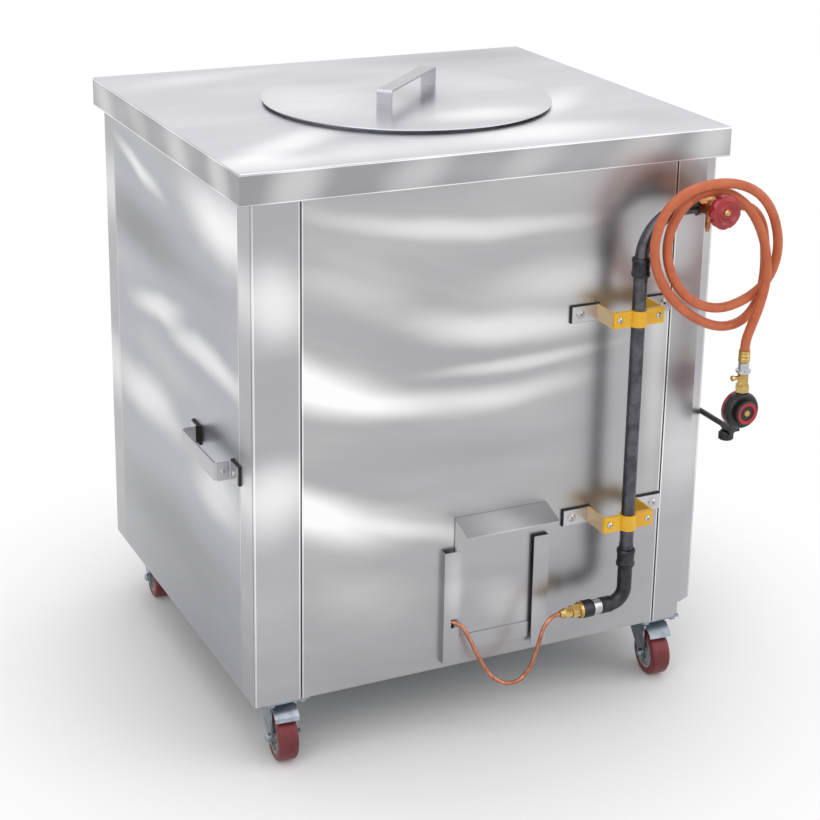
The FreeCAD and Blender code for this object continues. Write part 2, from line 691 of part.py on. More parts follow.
def make_burner():
    """Cast mushroom burner with slots round its head, its venturi, and the jet in front."""
    head = [(0, 0), (46, 0), (46, 5), (20, 10), (20, 48), (BURNER_RADIUS - 4, 54), (BURNER_RADIUS, 60),
            (BURNER_RADIUS, 70), (BURNER_RADIUS - 18, 78), (0, 82)]
    cap = turned("burner_cap", head, (*mouth, tray_top))
    slot = [(BURNER_RADIUS - 9, 63), (BURNER_RADIUS + 5, 63), (BURNER_RADIUS + 5, 84),
            (BURNER_RADIUS - 9, 84)]
    ring_of_cuts(cap, "XZ", slot, as_size(4), as_size(BURNER_PORTS))
    venturi_z = tray_top + BURNER_AXIS
    bell = [(VENTURI_RADIUS - 4, 0), (VENTURI_RADIUS, 0), (VENTURI_RADIUS, VENTURI_END - 40),
            (VENTURI_RADIUS + 7, VENTURI_END - 20), (VENTURI_RADIUS + 4, VENTURI_END - 20),
            (VENTURI_RADIUS - 4, VENTURI_END - 42)]
    horn = turned("burner_venturi", bell, (mouth[0], mouth[1] - 18, venturi_z), "-y")
    sub_part(fuse("burner", [cap, horn]))
    jet_y = mouth[1] - VENTURI_END
    nozzle = [(0, 0), (3, 0), (6, 8), (6, 10), (9, 10), (9, 20), (6, 20), (6, JET_LENGTH),
              (d.copper_radius + d.fit_gap, JET_LENGTH), (d.copper_radius + d.fit_gap, 12), (0, 12)]
    jet = turned("burner_nozzle", nozzle, (mouth[0], jet_y, venturi_z), "-y")
    foot = slab("burner_jet_foot", (-4, as_size(4)), (jet_y - 18, jet_y - 11),
                (tray_top, venturi_z - 5))
    sub_part(fuse("burner_jet", [jet, foot]))


# ---- ash door and its guides -----------------------------------------------------------


def make_door():
    gap, plate = d.door_gap, d.door_sheet
    sill_foot = d.guide_base + d.sill_rise
    door_base = sill_foot + d.sill_height + gap / 2
    door_top = door_base + d.door_height
    y_back = front - gap
    y_face = y_back - plate
    lip = plate * 1.05
    profile = [(y_back, door_base), (y_back, door_top), (y_face, door_top),
               (y_face - d.door_lip_reach, door_top - d.door_lip_drop),
               (y_face - d.door_lip_reach, door_top - d.door_lip_drop - lip),
               (y_face, door_top - lip), (y_face, door_base)]
    width = d.door_left + d.door_right
    sub_part(padded("ash_door", "YZ", profile, width, (d.door_x - d.door_left, 0, 0)))
    stand, wall = d.guide_stand, d.sheet
    high = (d.guide_base, d.guide_base + d.guide_height)
    web_left = d.door_x - d.guide_left_web
    web_right = d.door_x + d.door_right + d.guide_slack + wall
    left_rail = guide("guide_left", web_left, 1, high)
    notch_x = web_left + d.guide_flange
    notch = slab("guide_notch", (notch_x - 14, notch_x + 1), (front - stand - 1, front - stand + 2 * wall),
                 (COPPER_HOLE[1] - 9, COPPER_HOLE[1] + 6))
    left_guide = cut("guide_left_notched", left_rail, [notch])
    right_guide = guide("guide_right", web_right, -1, high)
    sill = slab("guide_sill", (web_left + wall, web_right - wall),
                (front - d.sill_thick, front), (sill_foot, sill_foot + d.sill_height))
    sub_part(group("door_guides", [left_guide, right_guide, sill]))


def guide(label, web, side, high):
    """Folded channel: a web on the panel and a face that laps the door's edge."""
    wall, face = d.sheet * side, d.guide_flange * side
    stand = d.guide_stand
    corners = [(web, front), (web, front - stand), (web + face, front - stand),
               (web + face, front - stand + d.sheet), (web + wall, front - stand + d.sheet),
               (web + wall, front)]
    return padded(label, "XY", corners, high[1] - high[0], (0, 0, high[0]))


# ---- handles ---------------------------------------------------------------------------


def hat(foot_end, leg, low, reach, strap):
    """Outline of a bent strap: foot, leg, bar, leg, foot, as (along, outward) corners."""
    return [(-foot_end, low), (strap - leg, low), (strap - leg, reach - strap),
            (leg - strap, reach - strap), (leg - strap, low), (foot_end, low),
            (foot_end, low + strap), (leg, low + strap), (leg, reach), (-leg, reach),
            (-leg, low + strap), (-foot_end, low + strap)]


def hat_bends(strap, bend):
    """Which corners of a hat are bends, and their radii: outside, or inside less the strap."""
    return {**{i: bend for i in (1, 4, 8, 9)}, **{i: bend - strap for i in (2, 3, 7, 10)}}


def pan_bolt(label, start, way, radius=4.5, shank=2.5, length=6):
    """A domed screw: its head stands out one way, its shank runs back the other way."""
    reverse = {"+": "-", "-": "+"}[way[0]] + way[1]
    head = turned(label + "_head", [(0, 0), (radius, 0), (radius, 1.4), (radius * 0.55, 2.8), (0, 2.8)],
                  start, way)
    return fuse(label, [head, rod(label + "_shank", shank, start, length, reverse)])


def make_side_handles():
    strap, low = d.grip_strap, d.pad_thick
    leg, middle = d.handle_span / 2, front + d.handle_setback
    foot_end = leg + d.handle_foot
    z_low = d.handle_height - d.handle_width / 2
    bars, pads, screws = [], [], []
    for side, face in ((-1, left), (1, right)):
        name = "left" if side < 0 else "right"
        way = "-x" if side < 0 else "+x"
        corners = [(side * out, along) for along, out in hat(foot_end, leg, low, d.handle_reach, strap)]
        corners = rounded(corners, hat_bends(strap, d.strap_bend))
        bar = padded(f"handle_{name}_bar", "XY", corners, d.handle_width, (face, middle, z_low))
        holes = []
        for end in (-1, 1):
            y = middle + end * (foot_end - d.handle_foot / 2)
            tag = f"{name}_{'near' if end < 0 else 'far'}"
            pad_ends = sorted((middle + end * (leg - strap - 4), middle + end * (foot_end + d.pad_border)),
                              key=float)
            faces = sorted((face, face + side * low), key=float)
            border = d.pad_border
            blank = slab(f"pad_{tag}_blank", faces, pad_ends,
                         (z_low - border, z_low + d.handle_width + border))
            hole = rod(f"handle_{tag}_hole", 2.7, (face, y, d.handle_height), low + strap + 1, way)
            pads.append(cut(f"pad_{tag}", blank, [hole]))
            holes.append(hole)
            screws.append(pan_bolt(f"handle_{tag}_screw", (face + side * (low + strap), y, d.handle_height),
                                   way, length=low + strap))
        bars.append(cut(f"handle_{name}", bar, [fuse(f"handle_{name}_holes", holes)]))
        leg_x = face + side * (low + strap + (d.handle_reach - low - strap) / 2)
        screws.append(turned(f"handle_{name}_rivet", [(0, 0), (4, 0), (3.4, 1.2), (0, 1.8)],
                             (leg_x, middle - leg, d.handle_height), "-y"))
    sub_part(group("side_handles", bars))
    return pads, screws


def make_lid():
    """Loose flat lid on the mouth ring, with its strap handle set at 45 degrees."""
    seat = top + d.ring_height
    x, y = mouth[0] + d.lid_shift_x, mouth[1] - d.lid_shift_y
    plate = [(0, 0), (d.lid_radius - 1, 0), (d.lid_radius, 0.8), (d.lid_radius, d.lid_sheet - 0.6),
             (d.lid_radius - 0.6, d.lid_sheet), (0, d.lid_sheet)]
    sub_part(turned("lid_plate", plate, (x, y, seat)))
    half, tall, strap = d.lid_grip_length / 2, d.lid_grip_height, d.grip_strap
    bow = as_size(5)
    corners = [(-half, 0), (strap - half, 0), (strap - half, tall - strap), (half - strap, tall - strap),
               (half - strap, 0), (half, 0), (half, tall - bow, bow), (half - bow, tall),
               (bow - half, tall, bow), (-half, tall - bow)]
    turn = Rotation(Vector(0, 0, 1), 45)
    sub_part(padded("lid_handle", "XZ", corners, d.lid_grip_width, (x, y, seat + d.lid_sheet), turn,
                    middle=True))


# ---- gas pipe --------------------------------------------------------------------------


def quarter_bend(label, centre, bend, radius, turn):
    """A quarter of a torus about its centre."""
    torus = doc.addObject("Part::Torus", label)
    bind(torus, "Radius1", bend)
    bind(torus, "Radius2", radius)
    torus.Angle3 = 90
    return place(torus, centre, turn)


def bent_pipe(label, centre, bend, radius, turn, legs):
    """A quarter bend with a straight leg at each end; a leg is (start, length, way)."""
    pieces = [quarter_bend(label + "_bend", centre, bend, radius, turn)]
    for name, (start, length, way) in zip(("first", "second"), legs):
        pieces.append(rod(f"{label}_{name}_leg", radius, start, length, way))
    return fuse(label, pieces)


def make_pipes():
    x, y = pipe_x, pipe_y
    bore = d.pipe_bore
    riser = rod("riser_outside", d.pipe_radius, (x, y, lower_joint), upper_joint - lower_joint, "+z")
    riser_bore = rod("riser_bore", bore, (x, y, lower_joint - 1), upper_joint - lower_joint + 2, "+z")
    sub_part(cut("riser_pipe", riser, [riser_bore]))
    couplings = []
    for name, z in (("lower", lower_joint), ("upper", upper_joint)):
        half, bead = d.coupling_length / 2, d.coupling_bead
        inner, outer = d.elbow_radius + d.fit_gap, d.coupling_radius
        inner = inner if name == "lower" else d.pipe_radius + d.fit_gap
        corners = [(d.pipe_radius + d.fit_gap, 0), (d.pipe_radius + d.fit_gap, half), (outer, half),
                   (outer + bead, half - 2), (outer + bead, half - 6), (outer, half - 8),
                   (outer, 8 - half), (outer + bead, 6 - half), (outer + bead, 2 - half),
                   (outer, -half), (inner, -half), (inner, 0)]
        if name == "upper":
            corners = corners[1:11]
        couplings.append(turned(f"coupling_{name}", corners, (x, y, z)))
    sub_part(group("pipe_couplings", couplings))
    bend, axis_z = d.bend_radius, d.outlet_height
    leg_z = upper_joint
    centre = (x + bend, y, axis_z - bend)
    pipe_end = valve_x - d.valve_inlet
    up = Rotation(Vector(1, 0, 0), 90) * Rotation(Vector(0, 0, 1), 90)
    legs = [((x, y, leg_z), axis_z - bend - leg_z, "+z"), ((x + bend, y, axis_z), pipe_end - x - bend, "+x")]
    top_outside = bent_pipe("top_bend_outside", centre, bend, d.pipe_radius, up, legs)
    top_bore = bent_pipe("top_bend_bore", centre, bend, bore, up, legs)
    sub_part(cut("top_bend", top_outside, [top_bore]))
    make_elbow()


def make_elbow():
    """Lower elbow with its long leg, end band, and the union, adaptor and flare nut after it."""
    x, y, z = pipe_x, pipe_y, d.inlet_height
    bend, radius = d.elbow_bend, d.elbow_radius
    centre = (x - bend, y, z + bend)
    down = Rotation(Vector(1, 0, 0), 90) * Rotation(Vector(0, 0, 1), -90)
    band_end = x - bend - d.elbow_band
    legs = [((x, y, z + bend), lower_joint - z - bend, "+z"), ((x - bend, y, z), d.elbow_band, "-x")]
    outside = bent_pipe("elbow_outside", centre, bend, radius, down, legs)
    bore = bent_pipe("elbow_bore", centre, bend, d.pipe_bore, down, legs)
    band = rod("elbow_collar", radius + 1.3, (x - bend, y, z), d.elbow_band, "-x")
    sub_part(cut("pipe_elbow", fuse("elbow_body", [outside, band]), [bore]))
    ring_end = band_end - d.union_ring_length
    sub_part(rod("union_ring", d.union_ring_radius, (band_end, y, z), d.union_ring_length, "-x"))
    long, wide = d.union_nut_length, d.union_nut_radius
    nut = [(0, 0), (wide - 1.5, 0), (wide, 2), (wide, long - 2), (wide - 1.5, long), (0, long)]
    sub_part(turned("union_nut", nut, (ring_end, y, z), "-x"))
    nut_end = ring_end - long
    flange = rod("adaptor_flange", d.adaptor_radius + 2, (nut_end, y, z), 5, "-x")
    body = hexagon("adaptor_hex", d.adaptor_radius, (nut_end, y, z), d.adaptor_length, "-x")
    adaptor = fuse("brass_adaptor", [flange, body])
    flare_start = nut_end - d.adaptor_length
    nose = [(d.copper_radius + d.fit_gap, 12), (d.flare_radius - 1, 12), (5.5, d.flare_length),
            (d.copper_radius + d.fit_gap, d.flare_length)]
    hexed = hexagon("flare_hex", d.flare_radius, (flare_start, y, z), 12, "-x")
    flare = fuse("flare_nut", [hexed, turned("flare_nose", nose, (flare_start, y, z), "-x")])
    sub_part(group("brass_fittings", [adaptor, flare]))
    return flare_start


COPPER_HOLE = (-67, 184)     # where the copper tube enters the front panel: x, z
COPPER_ROUTE = [             # from the flare nut, under the door, to the panel
    (91, 184.5), (75, 168), (68, 141), (56, 103), (38, 81), (14, 79), (-8, 94), (-23, 121), (-36, 154),
    (-47, 177)]
COPPER_FORWARD = [52, 52, 52, 51, 49, 45, 38, 31, 22, 14]   # in front of the casing, at each point


def make_copper_tube():
    """Soft copper tube from the flare nut, in a low loop, through the panel to the jet."""
    outlet = pipe_x - d.elbow_bend - d.elbow_band - d.union_ring_length - d.union_nut_length
    start = outlet - d.adaptor_length - 12
    points = [(start, pipe_y, d.inlet_height)]
    points += [(x, front - out, z) for (x, z), out in zip(COPPER_ROUTE, COPPER_FORWARD)]
    x, z = COPPER_HOLE
    jet_y = mouth[1] - VENTURI_END - 12
    venturi_z = tray_top + BURNER_AXIS
    points += [(x + 9, front - 9, z - 1), (x, front, z), (x, front + 22, z),
               (x + 8, front + 60, z - 12), (mouth[0] - 20, jet_y - 70, venturi_z + 16),
               (mouth[0], jet_y - 38, venturi_z), (mouth[0], jet_y, venturi_z)]
    sub_part(tube("copper_tube", points, d.copper_radius))


# ---- pipe clamps -----------------------------------------------------------------------


def make_clamps():
    """Two bent brackets bolted to the panel, each with a saddle strap round the pipe."""
    strap, leg, x0 = d.clamp_strap, d.clamp_leg, pipe_x
    inner = d.pipe_radius + d.fit_gap
    outer = inner + strap
    ease = (outer * outer - strap * strap).root()
    low = front - d.pad_thick
    shape = [(-d.clamp_tab, low), (strap - leg, low), (strap - leg, pipe_y + strap),
             (-ease, pipe_y + strap, -outer), (ease, pipe_y + strap), (leg - strap, pipe_y + strap),
             (leg - strap, low), (d.clamp_tab, low), (d.clamp_tab, low - strap), (leg, low - strap),
             (leg, pipe_y), (inner, pipe_y, inner), (-inner, pipe_y), (-leg, pipe_y),
             (-leg, low - strap), (-d.clamp_tab, low - strap)]
    ear = d.clamp_ear
    saddle = [(-ear, pipe_y), (-inner, pipe_y, inner), (inner, pipe_y), (ear, pipe_y),
              (ear, pipe_y - strap), (ease, pipe_y - strap, -outer), (-ease, pipe_y - strap),
              (-ear, pipe_y - strap)]
    brackets, saddles, pads, bolts = [], [], [], []
    for name, z in (("upper", d.clamp_upper), ("lower", d.clamp_lower)):
        z_low = z - d.clamp_width / 2
        bracket = padded(f"bracket_{name}_bent", "XY", shape, d.clamp_width, (x0, 0, z_low))
        strapped = padded(f"saddle_{name}_bent", "XY", saddle, d.clamp_width, (x0, 0, z_low))
        tab_holes, ear_holes = [], []
        for side in (-1, 1):
            tag = f"{name}_{'left' if side < 0 else 'right'}"
            bolt_x = x0 + side * d.clamp_tab_bolt
            hole = rod(f"tab_{tag}_hole", 3.2, (bolt_x, front, z), d.pad_thick + strap + 1, "-y")
            tab_holes.append(hole)
            ends = sorted((x0 + side * (leg - strap - 3), x0 + side * (d.clamp_tab + d.pad_border)),
                          key=float)
            blank = slab(f"pad_{tag}_blank", ends, (low, front),
                         (z_low - d.pad_border, z_low + d.clamp_width + d.pad_border))
            pads.append(cut(f"pad_{tag}", blank, [hole]))
            bolts.append(pan_bolt(f"tab_{tag}_bolt", (bolt_x, low - strap, z), "-y", 5.5, 3,
                                  strap + d.pad_thick))
            ear_x = x0 + side * d.clamp_ear_bolt
            ear_holes.append(rod(f"ear_{tag}_hole", 2.7, (ear_x, pipe_y + strap + 1, z), 2 * strap + 2,
                                 "-y"))
            ear_bolt = pan_bolt(f"ear_{tag}_head", (ear_x, pipe_y - strap, z), "-y", 4.5, 2.5, 2 * strap + 6)
            nut = hexagon(f"ear_{tag}_nut", 5, (ear_x, pipe_y + strap, z), 4, "+y")
            bolts.append(fuse(f"ear_{tag}_bolt", [ear_bolt, nut]))
        brackets.append(cut(f"bracket_{name}", bracket, tab_holes + ear_holes))
        saddles.append(cut(f"saddle_{name}", strapped, ear_holes))
    sub_part(group("clamp_brackets", brackets))
    sub_part(group("clamp_straps", saddles))
    return pads, bolts


# ---- valve, hose, regulator ------------------------------------------------------------


def make_valve():
    """Brass valve on the end of the pipe: body, bonnet, gland nut, drain and outlet."""
    x, y, z = valve_x, pipe_y, d.outlet_height
    inlet = d.valve_inlet
    ball = doc.addObject("Part::Sphere", "valve_ball_body")
    bind(ball, "Radius", d.valve_ball)
    place(ball, (x, y, z))
    socket = hexagon("valve_socket", d.pipe_radius + 4, (x - inlet, y, z), 12, "+x")
    neck = rod("valve_neck", d.pipe_radius, (x - inlet, y, z), inlet, "+x")
    bonnet = rod("valve_bonnet", d.bonnet_radius, (x, y, z), d.bonnet_reach - 10, "-y")
    gland = hexagon("valve_gland", d.bonnet_radius, (x, y - d.bonnet_reach + 10, z), 10, "-y")
    drain = rod("valve_drain", 4.5, (x, y, z), 36, "-z")
    drain_tip = rod("valve_drain_tip", 3, (x, y, z - 36), 5, "-z")
    screw = rod("valve_vent", 3.6, (x + 14, y, z), 15, "+z")
    tilt = Rotation(Vector(0, 1, 0), 90 + float(d.outlet_tilt))
    profile = [(0, 0), (9, 0), (9, 16), (11, 16), (11, 26), (8, 26), (8, d.valve_outlet),
               (0, d.valve_outlet)]
    outlet = turned("valve_outlet_branch", profile, (x, y, z))
    place(outlet, (x, y, z), tilt)
    body = fuse("valve_blank", [ball, socket, neck, bonnet, gland, drain, drain_tip, screw, outlet])
    hole = rod("valve_spindle_hole", d.spindle_radius + d.spindle_gap, (x, y - 10, z), d.bonnet_reach, "-y")
    sub_part(cut("valve_body", body, [hole]))
    tip = d.wheel_stand + d.wheel_thick + 2
    spindle = [(0, 10.5), (d.spindle_radius, 10.5), (d.spindle_radius, d.wheel_stand + d.wheel_thick - 4),
               (5, d.wheel_stand + d.wheel_thick - 4), (5, tip - 2), (3.5, tip), (0, tip)]
    sub_part(turned("valve_spindle", spindle, (x, y, z), "-y"))


def make_handwheel():
    """Scalloped handwheel with a raised rim and a hub round the spindle."""
    radius, thick, bore = d.wheel_radius, d.wheel_thick, d.spindle_radius + d.fit_gap
    profile = [(bore, 0), (10, 0), (13, 3), (radius - 6, 2), (radius, 4), (radius, thick - 4),
               (radius - 3, thick - 1), (radius - 8, thick), (15, thick - 3), (11, thick - 3),
               (9.5, thick - 1.5), (5 + d.fit_gap, thick - 1.5), (5 + d.fit_gap, thick - 4),
               (bore, thick - 4)]
    wheel = turned("handwheel", profile, (valve_x, pipe_y - d.wheel_stand, d.outlet_height), "-y")
    scallop = radius * 0.17
    ring_of_cuts(wheel, "XY", circle(radius + scallop * 0.45, as_size(0), scallop), 3 * thick,
                 d.wheel_scallops)
    sub_part(wheel)


HOSE_ROUTE = [    # to the right of the casing's right side, in front of the casing, above the outlet's axis
    (17.13, 52, -7.11), (36.2, 52.5, -18.9), (50, 53, -39.5), (56, 53.5, -69.1), (59.4, 54, -105.2),
    (56.7, 55, -140.1), (43.1, 57, -173), (12.6, 62, -193.8), (-31.6, 66, -193.5), (-83.3, 70, -167.4),
    (-123.9, 74, -132.3), (-151.4, 77, -92.3), (-161.8, 78, -51.3), (-155.2, 79, -11.4),
    (-134.7, 83, 21.6), (-101.3, 89, 41.5), (-46, 91, 45.4), (5.1, 88, 29.2), (42.8, 82, -5.1),
    (64.1, 77, -54.2), (65.4, 74, -95.3), (48.7, 73, -130.1), (13.2, 73, -151.9), (-32.1, 73, -161.7),
    (-77, 73, -148.5), (-113.6, 73, -116.4), (-134, 73, -74.4), (-134.4, 73, -32.4), (-114.8, 73.5, 6.5),
    (-82.3, 74, 28.5), (-39.1, 75, 27.4), (-3.3, 79, 6.1), (20.3, 84, -27), (33.6, 89, -67.2),
    (36.8, 92, -114.2), (29, 90, -157), (18.3, 85, -193.8), (13.7, 80, -217.7), (13.7, 80, -231.6)]


def hose_place(point):
    """A point of the hose's route in the part's own frame."""
    x, out, z = point
    return right + x, front - out, d.outlet_height + z


def outlet_place(reach):
    """A point on the valve outlet's axis, which points a little down."""
    lean = math.radians(float(d.outlet_tilt))
    return valve_x + reach * math.cos(lean), pipe_y, d.outlet_height - reach * math.sin(lean)


def make_hose():
    start = outlet_place(d.valve_outlet + d.ferrule_length)
    sub_part(tube("hose", [start] + [hose_place(point) for point in HOSE_ROUTE], d.hose_radius))


def ferrule(label, at, turn):
    """Crimped ferrule with two grooves."""
    wide, long = d.ferrule_radius, d.ferrule_length
    profile = [(0, 0), (wide, 0), (wide, long * 0.25), (wide - 0.9, long * 0.32), (wide, long * 0.4),
               (wide, long * 0.55), (wide - 0.9, long * 0.63), (wide, long * 0.7), (wide, long), (0, long)]
    piece = turned(label, profile, at)
    return place(piece, at, turn)


NUT_LENGTH = 20       # swivel nut under the hose
FOOT_LENGTH = 11      # wide hexagon at the tail's foot
CASE_SHIFT = 2        # hose's axis to the regulator's axis


def make_regulator():
    """Ferrules, swivel nut, tail, case, dial, inlet stem and shut-off knob on the hose's end."""
    x, y, z = hose_place(HOSE_ROUTE[-1])
    tilt = Rotation(Vector(0, 1, 0), 90 + float(d.outlet_tilt))
    first = ferrule("ferrule_valve", outlet_place(d.valve_outlet), tilt)
    second = ferrule("ferrule_regulator", (x, y, z), TURN["-z"])
    nut_z = z - d.ferrule_length
    nut = [(0, 0), (6.5, 0), (8.5, 2), (8.5, 13), (12, 14), (12, 17.5), (8, 18.5), (8, NUT_LENGTH),
           (0, NUT_LENGTH)]
    sub_part(turned("hose_nut", nut, (x, y, nut_z), "-z"))
    case_x, case_z, case_radius = x - CASE_SHIFT, z - d.regulator_drop, d.regulator_radius
    tail_z = nut_z - NUT_LENGTH
    tail_length = tail_z - case_z - case_radius + 2
    foot_z = tail_z - tail_length + FOOT_LENGTH + 2
    tail_hex = hexagon("tail_hex", 9.5, (x, y, tail_z - 1.5), tail_z - 1.5 - foot_z, "-z")
    tail_foot = hexagon("tail_foot", 11.5, (x, y, foot_z), FOOT_LENGTH, "-z")
    tail_neck = rod("tail_neck", 7.5, (x, y, tail_z), tail_length, "-z")
    screw_z = tail_z - 6
    screw_neck = rod("tail_screw_neck", 3, (x, y, screw_z), 17, "-x")
    screw_head = turned("tail_screw_head", [(0, 0), (3.6, 0), (4.5, 1), (4.5, 4), (3.6, 5), (0, 5)],
                        (x - 16, y, screw_z), "-x")
    tail = fuse("regulator_tail", [tail_hex, tail_foot, tail_neck, screw_neck, screw_head])
    flat = rod("tail_case_room", case_radius + d.fit_gap, (case_x, y + 20, case_z), 40, "-y")
    sub_part(group("hose_fittings", [first, second, cut("tail_fitted", tail, [flat])]))
    make_case(case_x, y, case_z)


BARREL_WALL = 2       # round the inlet stem's seat
STEM_SEAT = 8         # how deep the stem sits in the barrel
STEM_NECK = 1         # barrel's face to the full width of the stem
KNOB_PIN = 3          # radius of the shut-off knob's pin


def make_case(x, y, z):
    radius, back_half, front_half = d.regulator_radius, d.regulator_back, d.regulator_front
    y_back = y + (back_half + front_half) / 2
    y_seam = y_back - back_half
    red = [(0, 0), (radius - 6, 0), (radius, 6), (radius, back_half), (0, back_half)]
    case = turned("regulator_red_case", red, (x, y_back, z), "-y")
    stem_x, stem_z = x - d.stem_side, z - radius - d.stem_drop
    seat, barrel = d.stem_radius - 0.5, d.stem_radius + BARREL_WALL
    knob_y = y_back + d.knob_behind
    barrel_end = knob_y + barrel
    boss = rod("regulator_barrel", barrel, (stem_x, y_back - 4, stem_z), barrel_end - y_back + 4, "+y")
    web = slab("regulator_web", (stem_x - barrel + 1, stem_x + barrel + 1), (y_seam, y_back - 2),
               (stem_z, z - radius * 0.9))
    pin_z = stem_z - barrel
    pin = rod("regulator_pin", KNOB_PIN, (stem_x, knob_y, stem_z), barrel + d.knob_height - 3, "-z")
    bore = rod("regulator_stem_bore", seat + d.fit_gap, (stem_x, barrel_end - STEM_SEAT, stem_z),
               STEM_SEAT + 1, "+y")
    sub_part(cut("regulator_body", fuse("regulator_blank", [case, boss, web, pin]), [bore]))
    end = STEM_SEAT + STEM_NECK + d.stem_length
    stem = [(0, 0), (seat, 0), (seat, STEM_SEAT + STEM_NECK), (d.stem_radius, STEM_SEAT + STEM_NECK),
            (d.stem_radius, end - 0.5), (d.stem_radius - 0.5, end), (0, end)]
    sub_part(turned("inlet_stem", stem, (stem_x, barrel_end - STEM_SEAT, stem_z), "+y"))
    make_cap_and_dial(x, y_seam, z)
    wide, tall = d.knob_radius, d.knob_height
    bore = KNOB_PIN + d.pin_gap
    hub = [(bore, d.running_gap), (wide - 3, d.running_gap), (wide, 4), (wide, tall - 1),
           (wide - 1.5, tall), (0, tall), (0, tall - 2), (bore, tall - 2)]
    knob = turned("shutoff_knob", hub, (stem_x, knob_y, pin_z), "-z")
    ring_of_cuts(knob, "XY", circle(wide + 1.6, as_size(0), as_size(3)), 3 * tall, as_size(6))
    sub_part(knob)


def make_cap_and_dial(x, y_seam, z):
    """Black front half with its spigot, and the dial that turns on it."""
    radius, front_half = d.regulator_radius, d.regulator_front
    wide, thick, gap, spigot = d.dial_radius, d.dial_thick, d.dial_gap, as_size(5)
    cap = [(0, 0), (radius, 0), (radius, front_half * 0.55), (radius - 2, front_half * 0.85),
           (radius - 4, front_half), (spigot, front_half), (spigot, front_half + 4), (0, front_half + 4)]
    sub_part(turned("regulator_cap", cap, (x, y_seam, z), "-y"))
    hole, dish = spigot + d.pin_gap, wide * 0.6
    dial = [(hole, gap), (wide, gap), (wide, gap + thick - 3), (wide - 1.6, gap + thick),
            (dish + 1, gap + thick), (dish, gap + thick - 2), (4.5, gap + thick - 2),
            (4.5, gap + thick - 0.5), (0, gap + thick - 0.5), (0, 2 * gap + 4), (hole, 2 * gap + 4)]
    sub_part(turned("regulator_dial", dial, (x, y_seam - front_half, z), "-y"))


# ---- castors ---------------------------------------------------------------------------


def castor_places():
    """Swivel axes: name, x, y."""
    x = frame_side - d.castor_side
    y_front, y_back = front + d.castor_end, back - d.castor_end
    return [("front_left", -x, y_front), ("front_right", x, y_front), ("rear_left", -x, y_back),
            ("rear_right", x, y_back)]


def make_castor_plates():
    """Bolted plates with the upper ball race and king pin, and their bolts."""
    plates, bolts = [], []
    half_x, half_y = d.plate_width / 2, d.plate_length / 2
    for name, x, y in castor_places():
        plate = slab(f"plate_{name}_flat", (x - half_x, x + half_x), (y - half_y, y + half_y),
                     (base - d.plate_thick, base))
        race_foot = d.plate_thick + d.race_height
        neck = as_size(6)
        pin_foot = race_foot + d.fork_sheet + 2 * d.running_gap
        race = [(0, d.plate_thick - 1), (d.race_radius, d.plate_thick - 1), (d.race_radius - 3, race_foot),
                (neck, race_foot), (neck, pin_foot), (9, pin_foot), (8, pin_foot + 3.5),
                (0, pin_foot + 3.5)]
        king = turned(f"plate_{name}_race", race, (x, y, base), "-z")
        holes = []
        for side_x in (-1, 1):
            for side_y in (-1, 1):
                at = (x + side_x * d.plate_bolt_x / 2, y + side_y * d.plate_bolt_y / 2)
                tag = f"{name}_{side_x + 1}{side_y + 1}"
                holes.append(rod(f"plate_hole_{tag}", 4.25, (*at, base + 1), d.plate_thick + 2, "-z"))
                head = hexagon(f"castor_head_{tag}", 7, (*at, base - d.plate_thick), 5, "-z")
                shank = rod(f"castor_shank_{tag}", 4, (*at, base), d.plate_thick + 1, "-z")
                bolts.append(fuse(f"castor_bolt_{tag}", [head, shank]))
        plates.append(cut(f"plate_{name}", fuse(f"plate_{name}_blank", [plate, king]), holes))
    sub_part(group("castor_plates", plates))
    sub_part(group("castor_bolts", bolts))


def castor_frame(x, y):
    """Local frame of a castor: the wheel trails towards its own -Y."""
    return (x, y, as_size(0)), Rotation(Vector(0, 0, 1), -float(d.castor_turn))


def fork_leg(label, x):
    """Tapered side plate from the crown down to the axle's eye."""
    trail, axle, eye = d.castor_trail, d.tread_radius, as_size(11)
    crown = crown_top()
    corners = [(-29, crown), (-trail - eye, axle, eye), (eye - trail, axle), (16, crown - 26),
               (24, crown - 12),
               (24, crown)]
    return padded(label, "YZ", corners, d.fork_sheet, (x, 0, 0))


def crown_top():
    return base - d.plate_thick - d.race_height - d.running_gap


